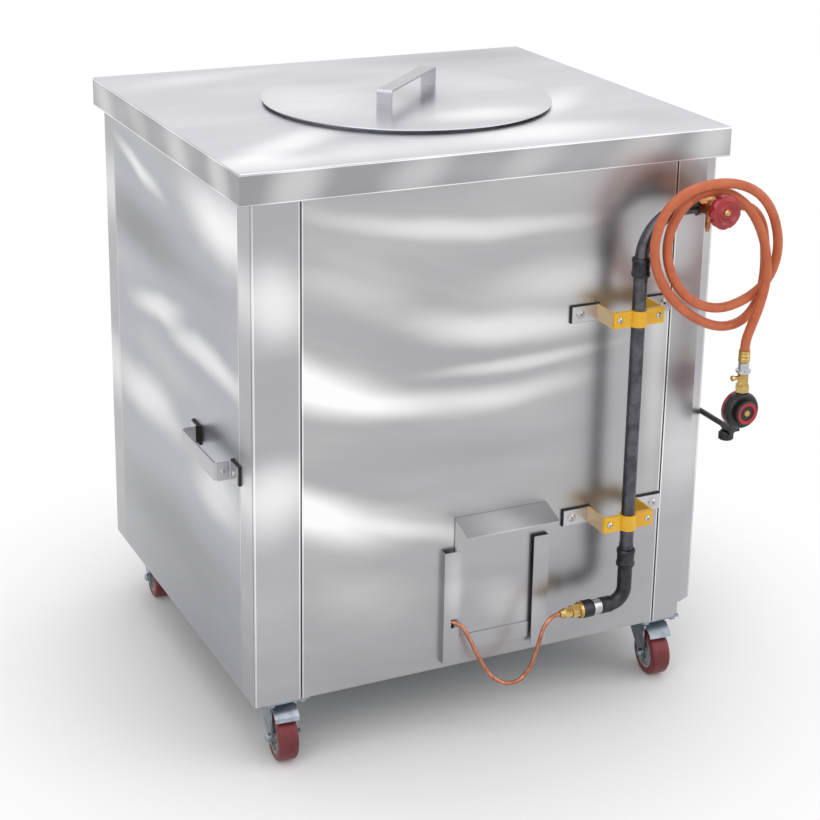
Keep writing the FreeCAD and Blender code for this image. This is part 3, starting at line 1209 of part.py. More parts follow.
def make_castor(name, x, y, braked):
    gap, sheet_thick = d.fork_gap, d.fork_sheet
    leg_in = d.tread_width / 2 + gap
    leg_out = leg_in + sheet_thick
    crown = crown_top()
    at, turn = castor_frame(x, y)
    axle_z, trail = d.tread_radius, d.castor_trail
    top_plate = slab(f"fork_{name}_crown", (-leg_out, leg_out), (as_size(-29), as_size(24)),
                     (crown - sheet_thick, crown))
    legs = [fork_leg(f"fork_{name}_left_leg", -leg_out), fork_leg(f"fork_{name}_right_leg", leg_in)]
    king_hole = rod(f"fork_{name}_king_hole", 6 + d.pin_gap, (0, 0, crown + 1), sheet_thick + 2, "-z")
    axle_hole = rod(f"fork_{name}_axle_hole", d.axle_radius + d.pin_gap, (-leg_out - 1, -trail, axle_z),
                    2 * leg_out + 2, "+x")
    pieces = [top_plate, *legs]
    pin_y, pin_z = as_size(-15), crown - 8
    if braked:
        pieces.append(rod(f"fork_{name}_pedal_pin", 2.5, (-leg_in - 1, pin_y, pin_z), 2 * leg_in + 2, "+x"))
    bent = cut(f"fork_{name}_bent", fuse(f"fork_{name}_blank", pieces), [king_hole, axle_hole])
    shank = rod(f"axle_{name}_shank", d.axle_radius, (-leg_out - 4, -trail, axle_z), 2 * leg_out + 8, "+x")
    head = turned(f"axle_{name}_head", [(0, 0), (7, 0), (7, 3), (4.5, 6), (0, 6)],
                  (-leg_out, -trail, axle_z), "-x")
    nut = hexagon(f"axle_{name}_nut", 7, (leg_out, -trail, axle_z), 6, "+x")
    axle = fuse(f"axle_{name}", [shank, head, nut])
    sub_part(place(group(f"castor_fork_{name}", [bent, axle]), at, turn))
    make_wheel(name, at, turn)
    if braked:
        make_pedal(name, at, turn, pin_y, pin_z)


def make_wheel(name, at, turn):
    """Grey hub with its recessed web, and the red tyre round it."""
    half, hub, bore = d.tread_width / 2, d.hub_radius, d.axle_radius + d.pin_gap
    axle = (0, -d.castor_trail, d.tread_radius)
    web = [(bore, -half - 1.5), (8, -half - 1.5), (8, 5 - half), (hub - 4, 6 - half), (hub - 4, 1 - half),
           (hub, 1 - half), (hub, half - 1), (hub - 4, half - 1), (hub - 4, half - 6), (8, half - 5),
           (8, half + 1.5), (bore, half + 1.5)]
    hub_piece = turned(f"hub_{name}", web, axle, "+x")
    sub_part(place(group(f"castor_hub_{name}", [hub_piece]), at, turn))
    edge, tread = as_size(6), d.tread_radius
    tyre = [(hub + d.fit_gap, -half), (tread - edge, -half, edge), (tread, edge - half),
            (tread, half - edge, edge), (tread - edge, half), (hub + d.fit_gap, half)]
    tyre_piece = turned(f"tyre_{name}", tyre, axle, "+x")
    sub_part(place(group(f"castor_tyre_{name}", [tyre_piece]), at, turn))


def make_pedal(name, at, turn, pin_y, pin_z):
    """Brake pedal: a folded plate over the wheel, hung on the fork's pin."""
    half = d.tread_width / 2 - 1
    sheet_thick = as_size(2.5)
    eye = [(pin_y + 5, pin_z - 4.5), (pin_y + 5, pin_z + 4), (-31, pin_z + 4), (-52, pin_z - 9),
           (-52, pin_z - 12), (-34, pin_z - 1.2), (pin_y - 5, pin_z - 4.5)]
    arm = padded(f"pedal_{name}_arm", "YZ", eye, 2 * half, (-half, 0, 0))
    plate = [(-33, pin_z + 3), (-51, pin_z - 8.5), (-53.5, pin_z - 13.5), (-55.5, pin_z - 12.5),
             (-52.8, pin_z - 6.8), (-34.4, pin_z + 5)]
    tread = padded(f"pedal_{name}_tread", "YZ", plate, 2 * half + 8, (-half - 4, 0, 0))
    hole = rod(f"pedal_{name}_hole", 2.5 + d.pin_gap, (-half - 1, pin_y, pin_z), 2 * half + 2, "+x")
    pedal = cut(f"pedal_{name}", fuse(f"pedal_{name}_blank", [arm, tread]), [hole])
    sub_part(place(group(f"brake_pedal_{name}", [pedal]), at, turn))


# ---- assembly --------------------------------------------------------------------------


def build():
    make_cover()
    make_panels()
    make_trims()
    make_frame()
    make_pot()
    make_insulation()
    make_burner()
    make_door()
    handle_pads, handle_screws = make_side_handles()
    make_lid()
    make_pipes()
    make_copper_tube()
    clamp_pads, clamp_bolts = make_clamps()
    sub_part(group("backing_pads", handle_pads + clamp_pads))
    sub_part(group("panel_screws", handle_screws + clamp_bolts))
    make_valve()
    make_handwheel()
    make_hose()
    make_regulator()
    make_castor_plates()
    for name, x, y in castor_places():
        make_castor(name, x, y, name.startswith("front"))


def check_and_write():
    doc.recompute()
    failed = [o.Name for o in doc.Objects if {"Invalid", "Error"} & set(o.State)]
    bad = [o.Label for o in SUB_PARTS if o.Shape.isNull() or not o.Shape.isValid()]
    if failed or bad:
        raise RuntimeError(f"failed objects: {failed}, bad shapes: {bad}")
    os.makedirs("parts", exist_ok=True)
    for piece in SUB_PARTS:
        piece.Shape.exportStep(f"parts/{piece.Label}.step")
        box = piece.Shape.BoundBox
        volume = piece.Shape.Volume / 1000
        print(f"{piece.Label:26s} {len(piece.Shape.Solids):3d} solids  {volume:10.1f} cm3  "
              f"x {box.XMin:.1f}..{box.XMax:.1f}  y {box.YMin:.1f}..{box.YMax:.1f}  "
              f"z {box.ZMin:.1f}..{box.ZMax:.1f}")
    print(f"{len(SUB_PARTS)} sub-parts")


build()
check_and_write()
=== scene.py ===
"""A gas-fired clay tandoor in a stainless casing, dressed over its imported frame."""
import json
import math

import bmesh
import bpy
import numpy as np
from mathutils import Matrix, Vector


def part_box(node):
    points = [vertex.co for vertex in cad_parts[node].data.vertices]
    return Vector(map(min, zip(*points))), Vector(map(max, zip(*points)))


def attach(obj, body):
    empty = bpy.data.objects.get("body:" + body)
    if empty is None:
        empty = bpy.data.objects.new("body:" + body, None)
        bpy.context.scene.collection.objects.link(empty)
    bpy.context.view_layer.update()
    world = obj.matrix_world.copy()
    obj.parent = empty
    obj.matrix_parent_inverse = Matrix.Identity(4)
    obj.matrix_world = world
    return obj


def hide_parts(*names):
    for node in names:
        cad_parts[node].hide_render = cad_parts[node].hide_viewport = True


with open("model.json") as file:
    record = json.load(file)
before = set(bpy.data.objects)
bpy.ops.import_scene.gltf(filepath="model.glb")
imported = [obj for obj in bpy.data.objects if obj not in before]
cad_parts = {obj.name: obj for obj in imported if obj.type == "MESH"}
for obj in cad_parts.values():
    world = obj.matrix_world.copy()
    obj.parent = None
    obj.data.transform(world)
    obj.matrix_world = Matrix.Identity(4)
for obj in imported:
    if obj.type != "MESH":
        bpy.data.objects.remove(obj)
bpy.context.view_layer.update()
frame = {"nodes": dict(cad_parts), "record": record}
NODES = frame["nodes"]
MM = 0.001

# Faces of the casing that the hose's route is measured from, in metres.
CASING_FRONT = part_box("front_panel")[0].y
CASING_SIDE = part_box("right_panel")[1].x
OUTLET_HEIGHT = 0.821

# Places that patterns are centred on, in metres.
PIPE_X = 0.2185
DIAL_X, DIAL_Z = 0.3952, 0.492
SAG_MIDDLE = 0.05           # x of the lowest point of the front's bent bands


# ---- camera -----------------------------------------------------------------------------

CAMERA_PLACE = (-1.2851, -2.6931, 1.5884)
CAMERA_AZIMUTH = math.radians(-26.111)
CAMERA_ELEVATION = math.radians(17.581)
CAMERA_ROLL = math.radians(1.126)
CAMERA_FOCUS = 1939.617     # focal length in pixels of the 820 pixel frame
CAMERA_SHIFT = (-20.0, -130.0)    # pixels by which the frame lies left of and below the lens axis
FRAME_WIDTH = 820.0
SENSOR = 36.0


def make_camera():
    """A long lens to the left of the front, a little above the lid."""
    data = bpy.data.cameras.new("camera")
    data.sensor_width = SENSOR
    data.lens = CAMERA_FOCUS / FRAME_WIDTH * SENSOR
    data.shift_x, data.shift_y = CAMERA_SHIFT[0] / FRAME_WIDTH, CAMERA_SHIFT[1] / FRAME_WIDTH
    data.clip_start, data.clip_end = 0.1, 200.0
    camera = bpy.data.objects.new("camera", data)
    bpy.context.scene.collection.objects.link(camera)
    level = math.cos(CAMERA_ELEVATION)
    back = Vector((math.sin(CAMERA_AZIMUTH) * level, -math.cos(CAMERA_AZIMUTH) * level,
                   math.sin(CAMERA_ELEVATION)))
    right = (-back).cross(Vector((0, 0, 1))).normalized()
    up = right.cross(-back)
    tilted_right = math.cos(CAMERA_ROLL) * right + math.sin(CAMERA_ROLL) * up
    tilted_up = math.cos(CAMERA_ROLL) * up - math.sin(CAMERA_ROLL) * right
    turn = Matrix((tilted_right, tilted_up, back)).transposed()
    camera.matrix_world = Matrix.Translation(CAMERA_PLACE) @ turn.to_4x4()
    bpy.context.scene.camera = camera


# ---- finishes ---------------------------------------------------------------------------


def linear(hex_colour):
    """Linear RGBA from an sRGB hex value such as "c8c9cb"."""
    values = [int(hex_colour[i:i + 2], 16) / 255 for i in (0, 2, 4)]
    return [v / 12.92 if v <= 0.04045 else ((v + 0.055) / 1.055) ** 2.4 for v in values] + [1.0]


def add(tree, kind, inputs=None, out=0, stops=None, **settings):
    """Adds a node with its own settings and its inputs, and returns one of its outputs.

    An input is a number, a colour or another node's output. stops are a colour ramp's places, each
    with a grey or a hex colour.
    """
    node = tree.nodes.new(kind)
    for name, value in settings.items():
        setattr(node, name, value)
    for key, value in (inputs or {}).items():
        if isinstance(value, bpy.types.NodeSocket):
            tree.links.new(value, node.inputs[key])
        else:
            node.inputs[key].default_value = value
    if stops:
        elements = node.color_ramp.elements
        while len(elements) < len(stops):
            elements.new(0.5)
        for element, (position, value) in zip(elements, stops):
            element.position = position
            element.color = linear(value) if isinstance(value, str) else (value, value, value, 1)
    return node.outputs[out]


def new_finish(name):
    """An empty finish: (material, its tree, its shader, the place on the object)."""
    material = bpy.data.materials.new(name)
    material.use_nodes = True
    tree = material.node_tree
    return material, tree, tree.nodes["Principled BSDF"], add(tree, "ShaderNodeTexCoord", out="Object")


def sheen(tree, value, flat, bands):
    """Adds soft bands of painted sheen to a value: painted highlights, and painted shade below nought.

    A band is (middle u, middle v, reach, spread, tilt in degrees, strength), in millimetres on the
    face. In the band's own turned frame, r is the length of (u / reach, v / spread), and the band adds
    strength times a smooth step from 1 at r = 0 to 0 at r = 1.
    """
    for u, v, reach, spread, tilt, strength in bands:
        own = add(tree, "ShaderNodeMapping", {"Vector": flat, "Location": (u * MM, v * MM, 0),
                                              "Rotation": (0, 0, math.radians(tilt)),
                                              "Scale": (reach * MM, spread * MM, 1)},
                  vector_type="TEXTURE")
        off = add(tree, "ShaderNodeVectorMath", {0: own}, out="Value", operation="LENGTH")
        shown = add(tree, "ShaderNodeMapRange", {"Value": off, "To Min": strength, "To Max": 0.0},
                    interpolation_type="SMOOTHERSTEP")
        value = add(tree, "ShaderNodeMath", {0: value, 1: shown}, operation="ADD")
    return value


def sheet_steel(name, face, tones, bands=(), lines=(), sag=0.0, cloud=0.25, roughness=0.33, wave=0.2,
                rim=None):
    """Austenitic stainless sheet, bright rolled and slightly wavy, brushed along its length.

    The eye sees a clear grey with long soft bands of painted sheen that bend with the sheet, painted
    highlights and painted shade, sharp painted lines along its folded edges, mostly highlights, and a
    fine grain in its gloss. face names the two coordinates across the sheet, and tones are its dark,
    middle and light greys. A band bends up to both sides, by sag metres at one metre from SAG_MIDDLE.
    cloud is how far the clouds go to either side of the middle grey, wave is the strength of the
    sheet's buckling, and rim, if given, is the top height, greys and bands of a turned-down rim.
    """
    material, tree, shader, place = new_finish(name)
    split = add(tree, "ShaderNodeSeparateXYZ", {0: place}).node
    u, v = (split.outputs["xyz".index(axis)] for axis in face)
    straight = add(tree, "ShaderNodeCombineXYZ", {0: u, 1: v})
    # Rolled sheet buckles in waves of about a third of a metre, which bends the bands.
    buckle = add(tree, "ShaderNodeTexNoise", {"Vector": place, "Scale": 3.2, "Detail": 2.0,
                                              "Roughness": 0.5})
    lift = add(tree, "ShaderNodeMapRange", {"Value": buckle, "To Min": -0.028, "To Max": 0.028})
    off = add(tree, "ShaderNodeMath", {0: u, 1: SAG_MIDDLE}, operation="SUBTRACT")
    square = add(tree, "ShaderNodeMath", {0: off, 1: off}, operation="MULTIPLY")
    bent = add(tree, "ShaderNodeMath", {0: square, 1: -sag, 2: lift}, operation="MULTIPLY_ADD")
    warped = add(tree, "ShaderNodeMath", {0: v, 1: bent}, operation="ADD")
    flat = add(tree, "ShaderNodeCombineXYZ", {0: u, 1: warped})
    # Clouds about 450 mm long and 110 mm high vary the grey under the bands.
    drawn = add(tree, "ShaderNodeMapping", {"Vector": flat, "Scale": (2.2, 9.0, 1.0)})
    clouds = add(tree, "ShaderNodeTexNoise", {"Vector": drawn, "Scale": 1.0, "Detail": 3.0,
                                              "Roughness": 0.5, "Distortion": 0.5})
    value = add(tree, "ShaderNodeMapRange", {"Value": clouds, "To Min": 0.5 - cloud,
                                             "To Max": 0.5 + cloud})
    # Painted sheen: the bands bend with the sheet, and the lines of painted highlight and shade stay
    # straight.
    value = sheen(tree, value, flat, bands)
    value = sheen(tree, value, straight, lines)
    # Grit lines are 0.1 mm wide in the real brushing. They are drawn 1.25 mm wide, to show.
    brushed = add(tree, "ShaderNodeMapping", {"Vector": straight, "Scale": (9.0, 800.0, 1.0)})
    grain = add(tree, "ShaderNodeTexNoise", {"Vector": brushed, "Scale": 1.0, "Detail": 2.0,
                                             "Roughness": 0.6})
    value = add(tree, "ShaderNodeMath", {0: grain, 1: 0.03, 2: value}, operation="MULTIPLY_ADD")
    value = add(tree, "ShaderNodeMath", {0: value, 1: 0.015}, operation="SUBTRACT")
    colour = add(tree, "ShaderNodeValToRGB", {"Fac": value}, stops=list(zip((0.0, 0.5, 1.0), tones)))
    if rim:
        colour = painted_rim_sheen(tree, split, place, colour, rim)
    tree.links.new(colour, shader.inputs["Base Color"])
    shader.inputs["Metallic"].default_value = 1.0
    gloss = add(tree, "ShaderNodeMapRange", {"Value": grain, "To Min": roughness - 0.05,
                                             "To Max": roughness + 0.05})
    tree.links.new(gloss, shader.inputs["Roughness"])
    waves = add(tree, "ShaderNodeBump", {"Height": buckle, "Distance": 3.0 * MM, "Strength": wave})
    fine = add(tree, "ShaderNodeBump", {"Height": grain, "Distance": 0.01 * MM, "Strength": 0.35,
                                        "Normal": waves})
    tree.links.new(fine, shader.inputs["Normal"])
    return material


def painted_rim_sheen(tree, split, place, colour, rim):
    """The cover's turned-down rim, in darker greys of its own as painted shade: bands of painted sheen
    that cross it at a slant, and painted highlights along its folds.

    Its first coordinate is x + y, which runs on round the corner. rim is the height in metres that the
    sheet's own colour starts above, the rim's dark, middle and light greys, and its bands.
    """
    top, tones, bands = rim
    along = add(tree, "ShaderNodeMath", {0: split.outputs["X"], 1: split.outputs["Y"]}, operation="ADD")
    flat = add(tree, "ShaderNodeCombineXYZ", {0: along, 1: split.outputs["Z"]})
    drift = add(tree, "ShaderNodeTexNoise", {"Vector": place, "Scale": 5.0, "Detail": 2.0})
    value = add(tree, "ShaderNodeMapRange", {"Value": drift, "To Min": 0.38, "To Max": 0.62})
    value = sheen(tree, value, flat, bands)
    slanted = add(tree, "ShaderNodeValToRGB", {"Fac": value}, stops=list(zip((0.0, 0.5, 1.0), tones)))
    # Below the fold, the rim's own darker greys, painted shade, take the place of the top's colour.
    upper = add(tree, "ShaderNodeMath", {0: split.outputs["Z"], 1: top}, operation="GREATER_THAN")
    return add(tree, "ShaderNodeMix", {0: upper, 6: slanted, 7: colour}, out=2, data_type="RGBA")


def solid_metal(name, colour, patch, roughness, patch_mm=14.0, grain_mm=1.4, depth_mm=0.03,
                speckle=0.16):
    """A metal, cast, drawn or turned: patches of two tones, and a fine grain in gloss and relief."""
    material, tree, shader, place = new_finish(name)
    grain = add(tree, "ShaderNodeTexNoise", {"Vector": place, "Scale": 1 / (grain_mm * MM), "Detail": 3.0,
                                             "Roughness": 0.6})
    cloud = add(tree, "ShaderNodeTexNoise", {"Vector": place, "Scale": 1 / (patch_mm * MM), "Detail": 3.0,
                                             "Roughness": 0.6, "Distortion": 0.4})
    tone = add(tree, "ShaderNodeValToRGB", {"Fac": cloud}, stops=[(0.36, colour), (0.66, patch)])
    grey = add(tree, "ShaderNodeMapRange", {"Value": grain, "To Min": 1.0 - speckle,
                                            "To Max": 1.0 + speckle / 3})
    base = add(tree, "ShaderNodeMix", {0: 1.0, 6: tone, 7: grey}, out=2, data_type="RGBA",
               blend_type="MULTIPLY")
    tree.links.new(base, shader.inputs["Base Color"])
    shader.inputs["Metallic"].default_value = 1.0
    gloss = add(tree, "ShaderNodeMapRange", {"Value": grain, "To Min": roughness - 0.07,
                                             "To Max": roughness + 0.07})
    tree.links.new(gloss, shader.inputs["Roughness"])
    relief = add(tree, "ShaderNodeBump", {"Height": grain, "Distance": depth_mm * MM, "Strength": 0.7})
    tree.links.new(relief, shader.inputs["Normal"])
    return material


def coated(name, colour, patch, roughness, patch_mm=25.0, skin_mm=1.1, depth_mm=0.03, coat=0.0, ior=1.5,
           marks=None):
    """Paint, rubber, moulded plastic or clay: two close tones in patches, and a skin texture.

    marks, if given, is a function that paints over the colour.
    """
    material, tree, shader, place = new_finish(name)
    skin = add(tree, "ShaderNodeTexNoise", {"Vector": place, "Scale": 1 / (skin_mm * MM), "Detail": 3.0,
                                            "Roughness": 0.55})
    cloud = add(tree, "ShaderNodeTexNoise", {"Vector": place, "Scale": 1 / (patch_mm * MM), "Detail": 3.0,
                                             "Roughness": 0.55})
    tone = add(tree, "ShaderNodeValToRGB", {"Fac": cloud}, stops=[(0.36, colour), (0.68, patch)])
    grey = add(tree, "ShaderNodeMapRange", {"Value": skin, "To Min": 0.93, "To Max": 1.04})
    base = add(tree, "ShaderNodeMix", {0: 1.0, 6: tone, 7: grey}, out=2, data_type="RGBA",
               blend_type="MULTIPLY")
    if marks:
        base = marks(tree, shader, place, base)
    tree.links.new(base, shader.inputs["Base Color"])
    gloss = add(tree, "ShaderNodeMapRange", {"Value": skin, "To Min": roughness - 0.06,
                                             "To Max": roughness + 0.06})
    tree.links.new(gloss, shader.inputs["Roughness"])
    relief = add(tree, "ShaderNodeBump", {"Height": skin, "Distance": depth_mm * MM, "Strength": 0.7})
    tree.links.new(relief, shader.inputs["Normal"])
    shader.inputs["IOR"].default_value = ior
    shader.inputs["Coat Weight"].default_value = coat
    shader.inputs["Coat Roughness"].default_value = 0.08
    return material


# Bands of painted sheen, each (middle u, middle v, reach, spread, tilt in degrees, strength), in
# millimetres: a painted highlight, and painted shade where the strength is below nought. A line is such
# a band that fades within a millimetre or two of a fold, painted light along that fold in the same way.
# Front: the broad negative band low down is painted shade, darker towards the bottom.
FRONT_BANDS = [
    (-330, 545, 300, 66, 0, 0.56), (-110, 538, 260, 36, 0, 0.26), (15, 648, 280, 48, -5, 0.36),
    (-60, 800, 380, 26, 0, 0.26), (40, 586, 250, 20, 0, 0.28), (125, 708, 230, 60, 0, 0.18),
    (60, 541, 190, 30, 0, 0.16), (-340, 340, 330, 70, -2, 0.58), (-105, 322, 170, 26, -9, 0.18),
    (-230, 705, 160, 60, 0, 0.12), (120, 190, 360, 190, 0, -0.10), (-240, 225, 170, 110, 0, 0.06),
    (290, 560, 34, 360, 0, 0.18), (-90, 445, 300, 50, 0, -0.06)]
FRONT_LINES = [(-305.8, 490, 1.6, 900, 0, 0.40), (305.8, 490, 1.6, 900, 0, 0.35)]
# Sides: the broad negative bands low down are painted shade, darker towards the bottom.
SIDE_BANDS = [
    (-190, 825, 280, 90, 0, 0.44), (215, 812, 190, 24, 10, 0.34), (215, 712, 330, 76, 0, -0.30),
    (-95, 592, 290, 40, 0, 0.36), (130, 606, 210, 36, -11, 0.34), (150, 520, 290, 40, 0, 0.04),
    (205, 430, 290, 68, 0, 0.32), (-145, 390, 180, 72, 0, 0.26), (50, 235, 520, 140, 0, -0.24),
    (50, 130, 520, 70, 0, -0.10), (-60, 700, 250, 46, 0, -0.10)]
SIDE_LINES = [(-238.3, 490, 1.8, 900, 0, 0.45), (345.3, 490, 1.8, 900, 0, 0.45)]
TOP_BANDS = [
    (250, 345, 330, 130, 0, -0.20), (-265, -140, 230, 66, 35, 0.36), (-350, -240, 130, 80, 0, 0.32),
    (85, -215, 250, 110, 0, 0.36), (215, -50, 220, 66, 41, 0.32), (-175, -235, 210, 84, 0, 0.26),
    (-240, 330, 250, 56, 14, 0.14), (315, -190, 90, 100, 0, -0.05)]
# Lid: the dark band at u 25 is a painted shadow of the handle.
LID_BANDS = [
    (-150, 70, 170, 190, 0, 0.20), (25, 50, 70, 150, 8, -0.18), (75, -105, 150, 74, 0, 0.34),
    (170, 90, 110, 140, 20, 0.08), (-60, 215, 220, 60, 0, -0.08)]
TRIM_BANDS = [
    (-350, 735, 110, 84, -62, 0.36), (-345, 585, 90, 90, 0, -0.04), (-350, 430, 100, 110, -40, 0.36),
    (-350, 230, 110, 150, 0, 0.04), (345, 400, 100, 140, 0, 0.18), (345, 760, 100, 120, 0, 0.08)]
# The dark line at u -382.8 is painted shade in the front-left fold; the others are painted highlights.
TRIM_LINES = [
    (-380.6, 490, 1.8, 900, 0, 0.45), (-382.8, 490, 0.9, 900, 0, -0.5), (-311.2, 490, 1.6, 900, 0, 0.40),
    (311.2, 490, 1.6, 900, 0, 0.40), (381.5, 490, 1.6, 900, 0, 0.35)]
# Rim: the last three are painted highlights along its top fold, its foot and its front-left corner.
RIM_BANDS = [
    (-610, 905, 130, 70, 60, 0.22), (-430, 900, 150, 60, 42, 0.14), (-240, 905, 130, 50, 38, 0.10),
    (-60, 900, 150, 56, 42, 0.14), (70, 905, 90, 60, 50, 0.18), (-330, 903, 460, 34, 0, 0.04),
    (-300, 923.8, 900, 1.3, 0, 0.5), (-300, 881.2, 900, 1.3, 0, 0.45), (-694, 903, 2.0, 60, 0, 0.40)]
DOOR_BANDS = [(22, 340, 90, 20, 0, 0.2), (-60, 240, 30, 90, 0, 0.15), (40, 200, 90, 60, -30, 0.12)]

# Where one finish gives way to the next, in metres: each blends over a millimetre or less.
TAB_START = (0.0445, 0.0455)        # off the pipe's axis, where a clamp's paint ends
CASE_FOOT = (0.4648, 0.4656)        # height of the foot of the regulator's red case
PACKING_SIDE, PACKING_FRONT = 0.371, -0.277     # x and y beyond which the packing is painted in deep shade
RIM_TOP = 0.9252                    # height of the fold between the cover's top and its rim
BARE_STAINLESS, PLAIN_BLACK, PAINTED_DEEP_SHADE = "c4c4c8", "191a1c", "0c0c0d"


def bracket_paint(tree, shader, place, base):
    """Yellow powder coat over the clamp's middle; its tabs, 45 mm off the pipe, stay bare stainless."""
    split = add(tree, "ShaderNodeSeparateXYZ", {0: place}).node
    off = add(tree, "ShaderNodeMath", {0: split.outputs["X"], 1: PIPE_X}, operation="SUBTRACT")
    off = add(tree, "ShaderNodeMath", {0: off}, operation="ABSOLUTE")
    bare = add(tree, "ShaderNodeMapRange", {"Value": off, "From Min": TAB_START[0],
                                            "From Max": TAB_START[1]})
    tree.links.new(bare, shader.inputs["Metallic"])
    return add(tree, "ShaderNodeMix", {0: bare, 6: base, 7: linear(BARE_STAINLESS)}, out=2,
               data_type="RGBA")


def regulator_paint(tree, shader, place, base):
    """Red enamel on the round case only: barrel, web and pin below it are black."""
    height = add(tree, "ShaderNodeSeparateXYZ", {0: place}).node.outputs["Z"]
    case = add(tree, "ShaderNodeMapRange", {"Value": height, "From Min": CASE_FOOT[0],
                                            "From Max": CASE_FOOT[1]})
    return add(tree, "ShaderNodeMix", {0: case, 6: linear(PLAIN_BLACK), 7: base}, out=2,
               data_type="RGBA")


def dial_paint(tree, shader, place, base):
    """A red ring from 12 to 17.2 mm round the dial's brass screw, which is 4.7 mm in radius.

    The ramp's whole length stands for 20 mm.
    """
    own = add(tree, "ShaderNodeMapping", {"Vector": place, "Location": (-DIAL_X, 0, -DIAL_Z),
                                          "Scale": (1, 0, 1)})
    off = add(tree, "ShaderNodeVectorMath", {0: own}, out="Value", operation="LENGTH")
    reach = add(tree, "ShaderNodeMath", {0: off, 1: 1 / (20 * MM)}, operation="MULTIPLY")
    marking = add(tree, "ShaderNodeValToRGB", {"Fac": reach}, stops=[
        (0.0, "c89b52"), (4.7 / 20, "17181a"), (12 / 20, "b5202c"), (17.2 / 20, "17181a")])
    marking.node.color_ramp.interpolation = "CONSTANT"
    return marking


def painted_packing_shade(tree, shader, place, base):
    """Painted shade: mineral wool within 12 mm of the casing, seen through its seams, is nearly black."""
    split = add(tree, "ShaderNodeSeparateXYZ", {0: place}).node
    aside = add(tree, "ShaderNodeMath", {0: split.outputs["X"]}, operation="ABSOLUTE")
    near = add(tree, "ShaderNodeMath", {0: aside, 1: PACKING_SIDE}, operation="GREATER_THAN")
    ahead = add(tree, "ShaderNodeMath", {0: split.outputs["Y"], 1: PACKING_FRONT}, operation="LESS_THAN")
    either = add(tree, "ShaderNodeMath", {0: near, 1: ahead}, operation="MAXIMUM")
    return add(tree, "ShaderNodeMix", {0: either, 6: base, 7: linear(PAINTED_DEEP_SHADE)}, out=2,
               data_type="RGBA")


def nodes_named(*starts):
    """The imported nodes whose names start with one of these."""
    return [name for name in NODES if name.startswith(starts)]


def make_sheet_finishes():
    """The stainless finishes of the casing, with the names of the nodes that take them."""
    steel = ("76757a", "b2b1b3", "ffffff")
    steel_painted_side_light = ("6c6c72", "aeafb5", "ffffff")
    steel_painted_top_light = ("8e8e94", "cacad0", "ffffff")
    # Front and rear: a neutral grey, with bands of painted sheen that bend up to both sides.
    front = sheet_steel("bright_rolled_stainless_front", "xz", steel, FRONT_BANDS, FRONT_LINES, sag=0.5,
                        cloud=0.14)
    # Sides: the same steel painted a slightly cooler, darker grey as painted shade, under long bands of
    # painted highlight and painted shade in turn.
    side = sheet_steel("bright_rolled_stainless_side", "yz", steel_painted_side_light, SIDE_BANDS, SIDE_LINES,
                       cloud=0.12)
    # Cover: painted the palest, as painted light on a face that faces up. Its rim is painted darker as
    # painted shade, with bands of painted sheen that slant across it.
    top = sheet_steel("bright_rolled_stainless_cover", "xy", steel_painted_top_light, TOP_BANDS, cloud=0.16,
                      rim=(RIM_TOP, ("6a6a6c", "a0a0a3", "ffffff"), RIM_BANDS))
    # Lid: painted as pale as the cover, as painted light from above, and glossier.
    lid = sheet_steel("bright_rolled_stainless_lid", "xy", steel_painted_top_light, LID_BANDS, cloud=0.14,
                      roughness=0.25)
    # Corner trims: slanted bands of painted sheen, and thin lines of painted highlight and painted shade
    # along the folds.
    trim = sheet_steel("folded_stainless_trim", "xz", ("6c6c6f", "b2b2b6", "ffffff"), TRIM_BANDS,
                       TRIM_LINES, cloud=0.1)
    # Strap handles: short and stiff, so that they have neither bands nor buckling.
    strap = sheet_steel("brushed_stainless_strap", "xz", ("6c6c6f", "b6b6ba", "ffffff"), cloud=0.16,
                        wave=0.0)
    # Ash door and its guides: a little darker than the front, with a few short bands of painted sheen.
    door = sheet_steel("brushed_stainless_door", "xz", ("66666a", "aeaeb2", "ffffff"), DOOR_BANDS,
                       cloud=0.14)
    return {
        top: ["cover"],
        lid: ["lid_plate", "mouth_ring"],
        front: ["front_panel", "rear_panel"],
        side: ["left_panel", "right_panel"],
        trim: ["trim_front_left", "trim_front_right", "rear_corner_trims"],
        strap: ["lid_handle", "side_handles"],
        door: ["ash_door", "door_guides"],
    }


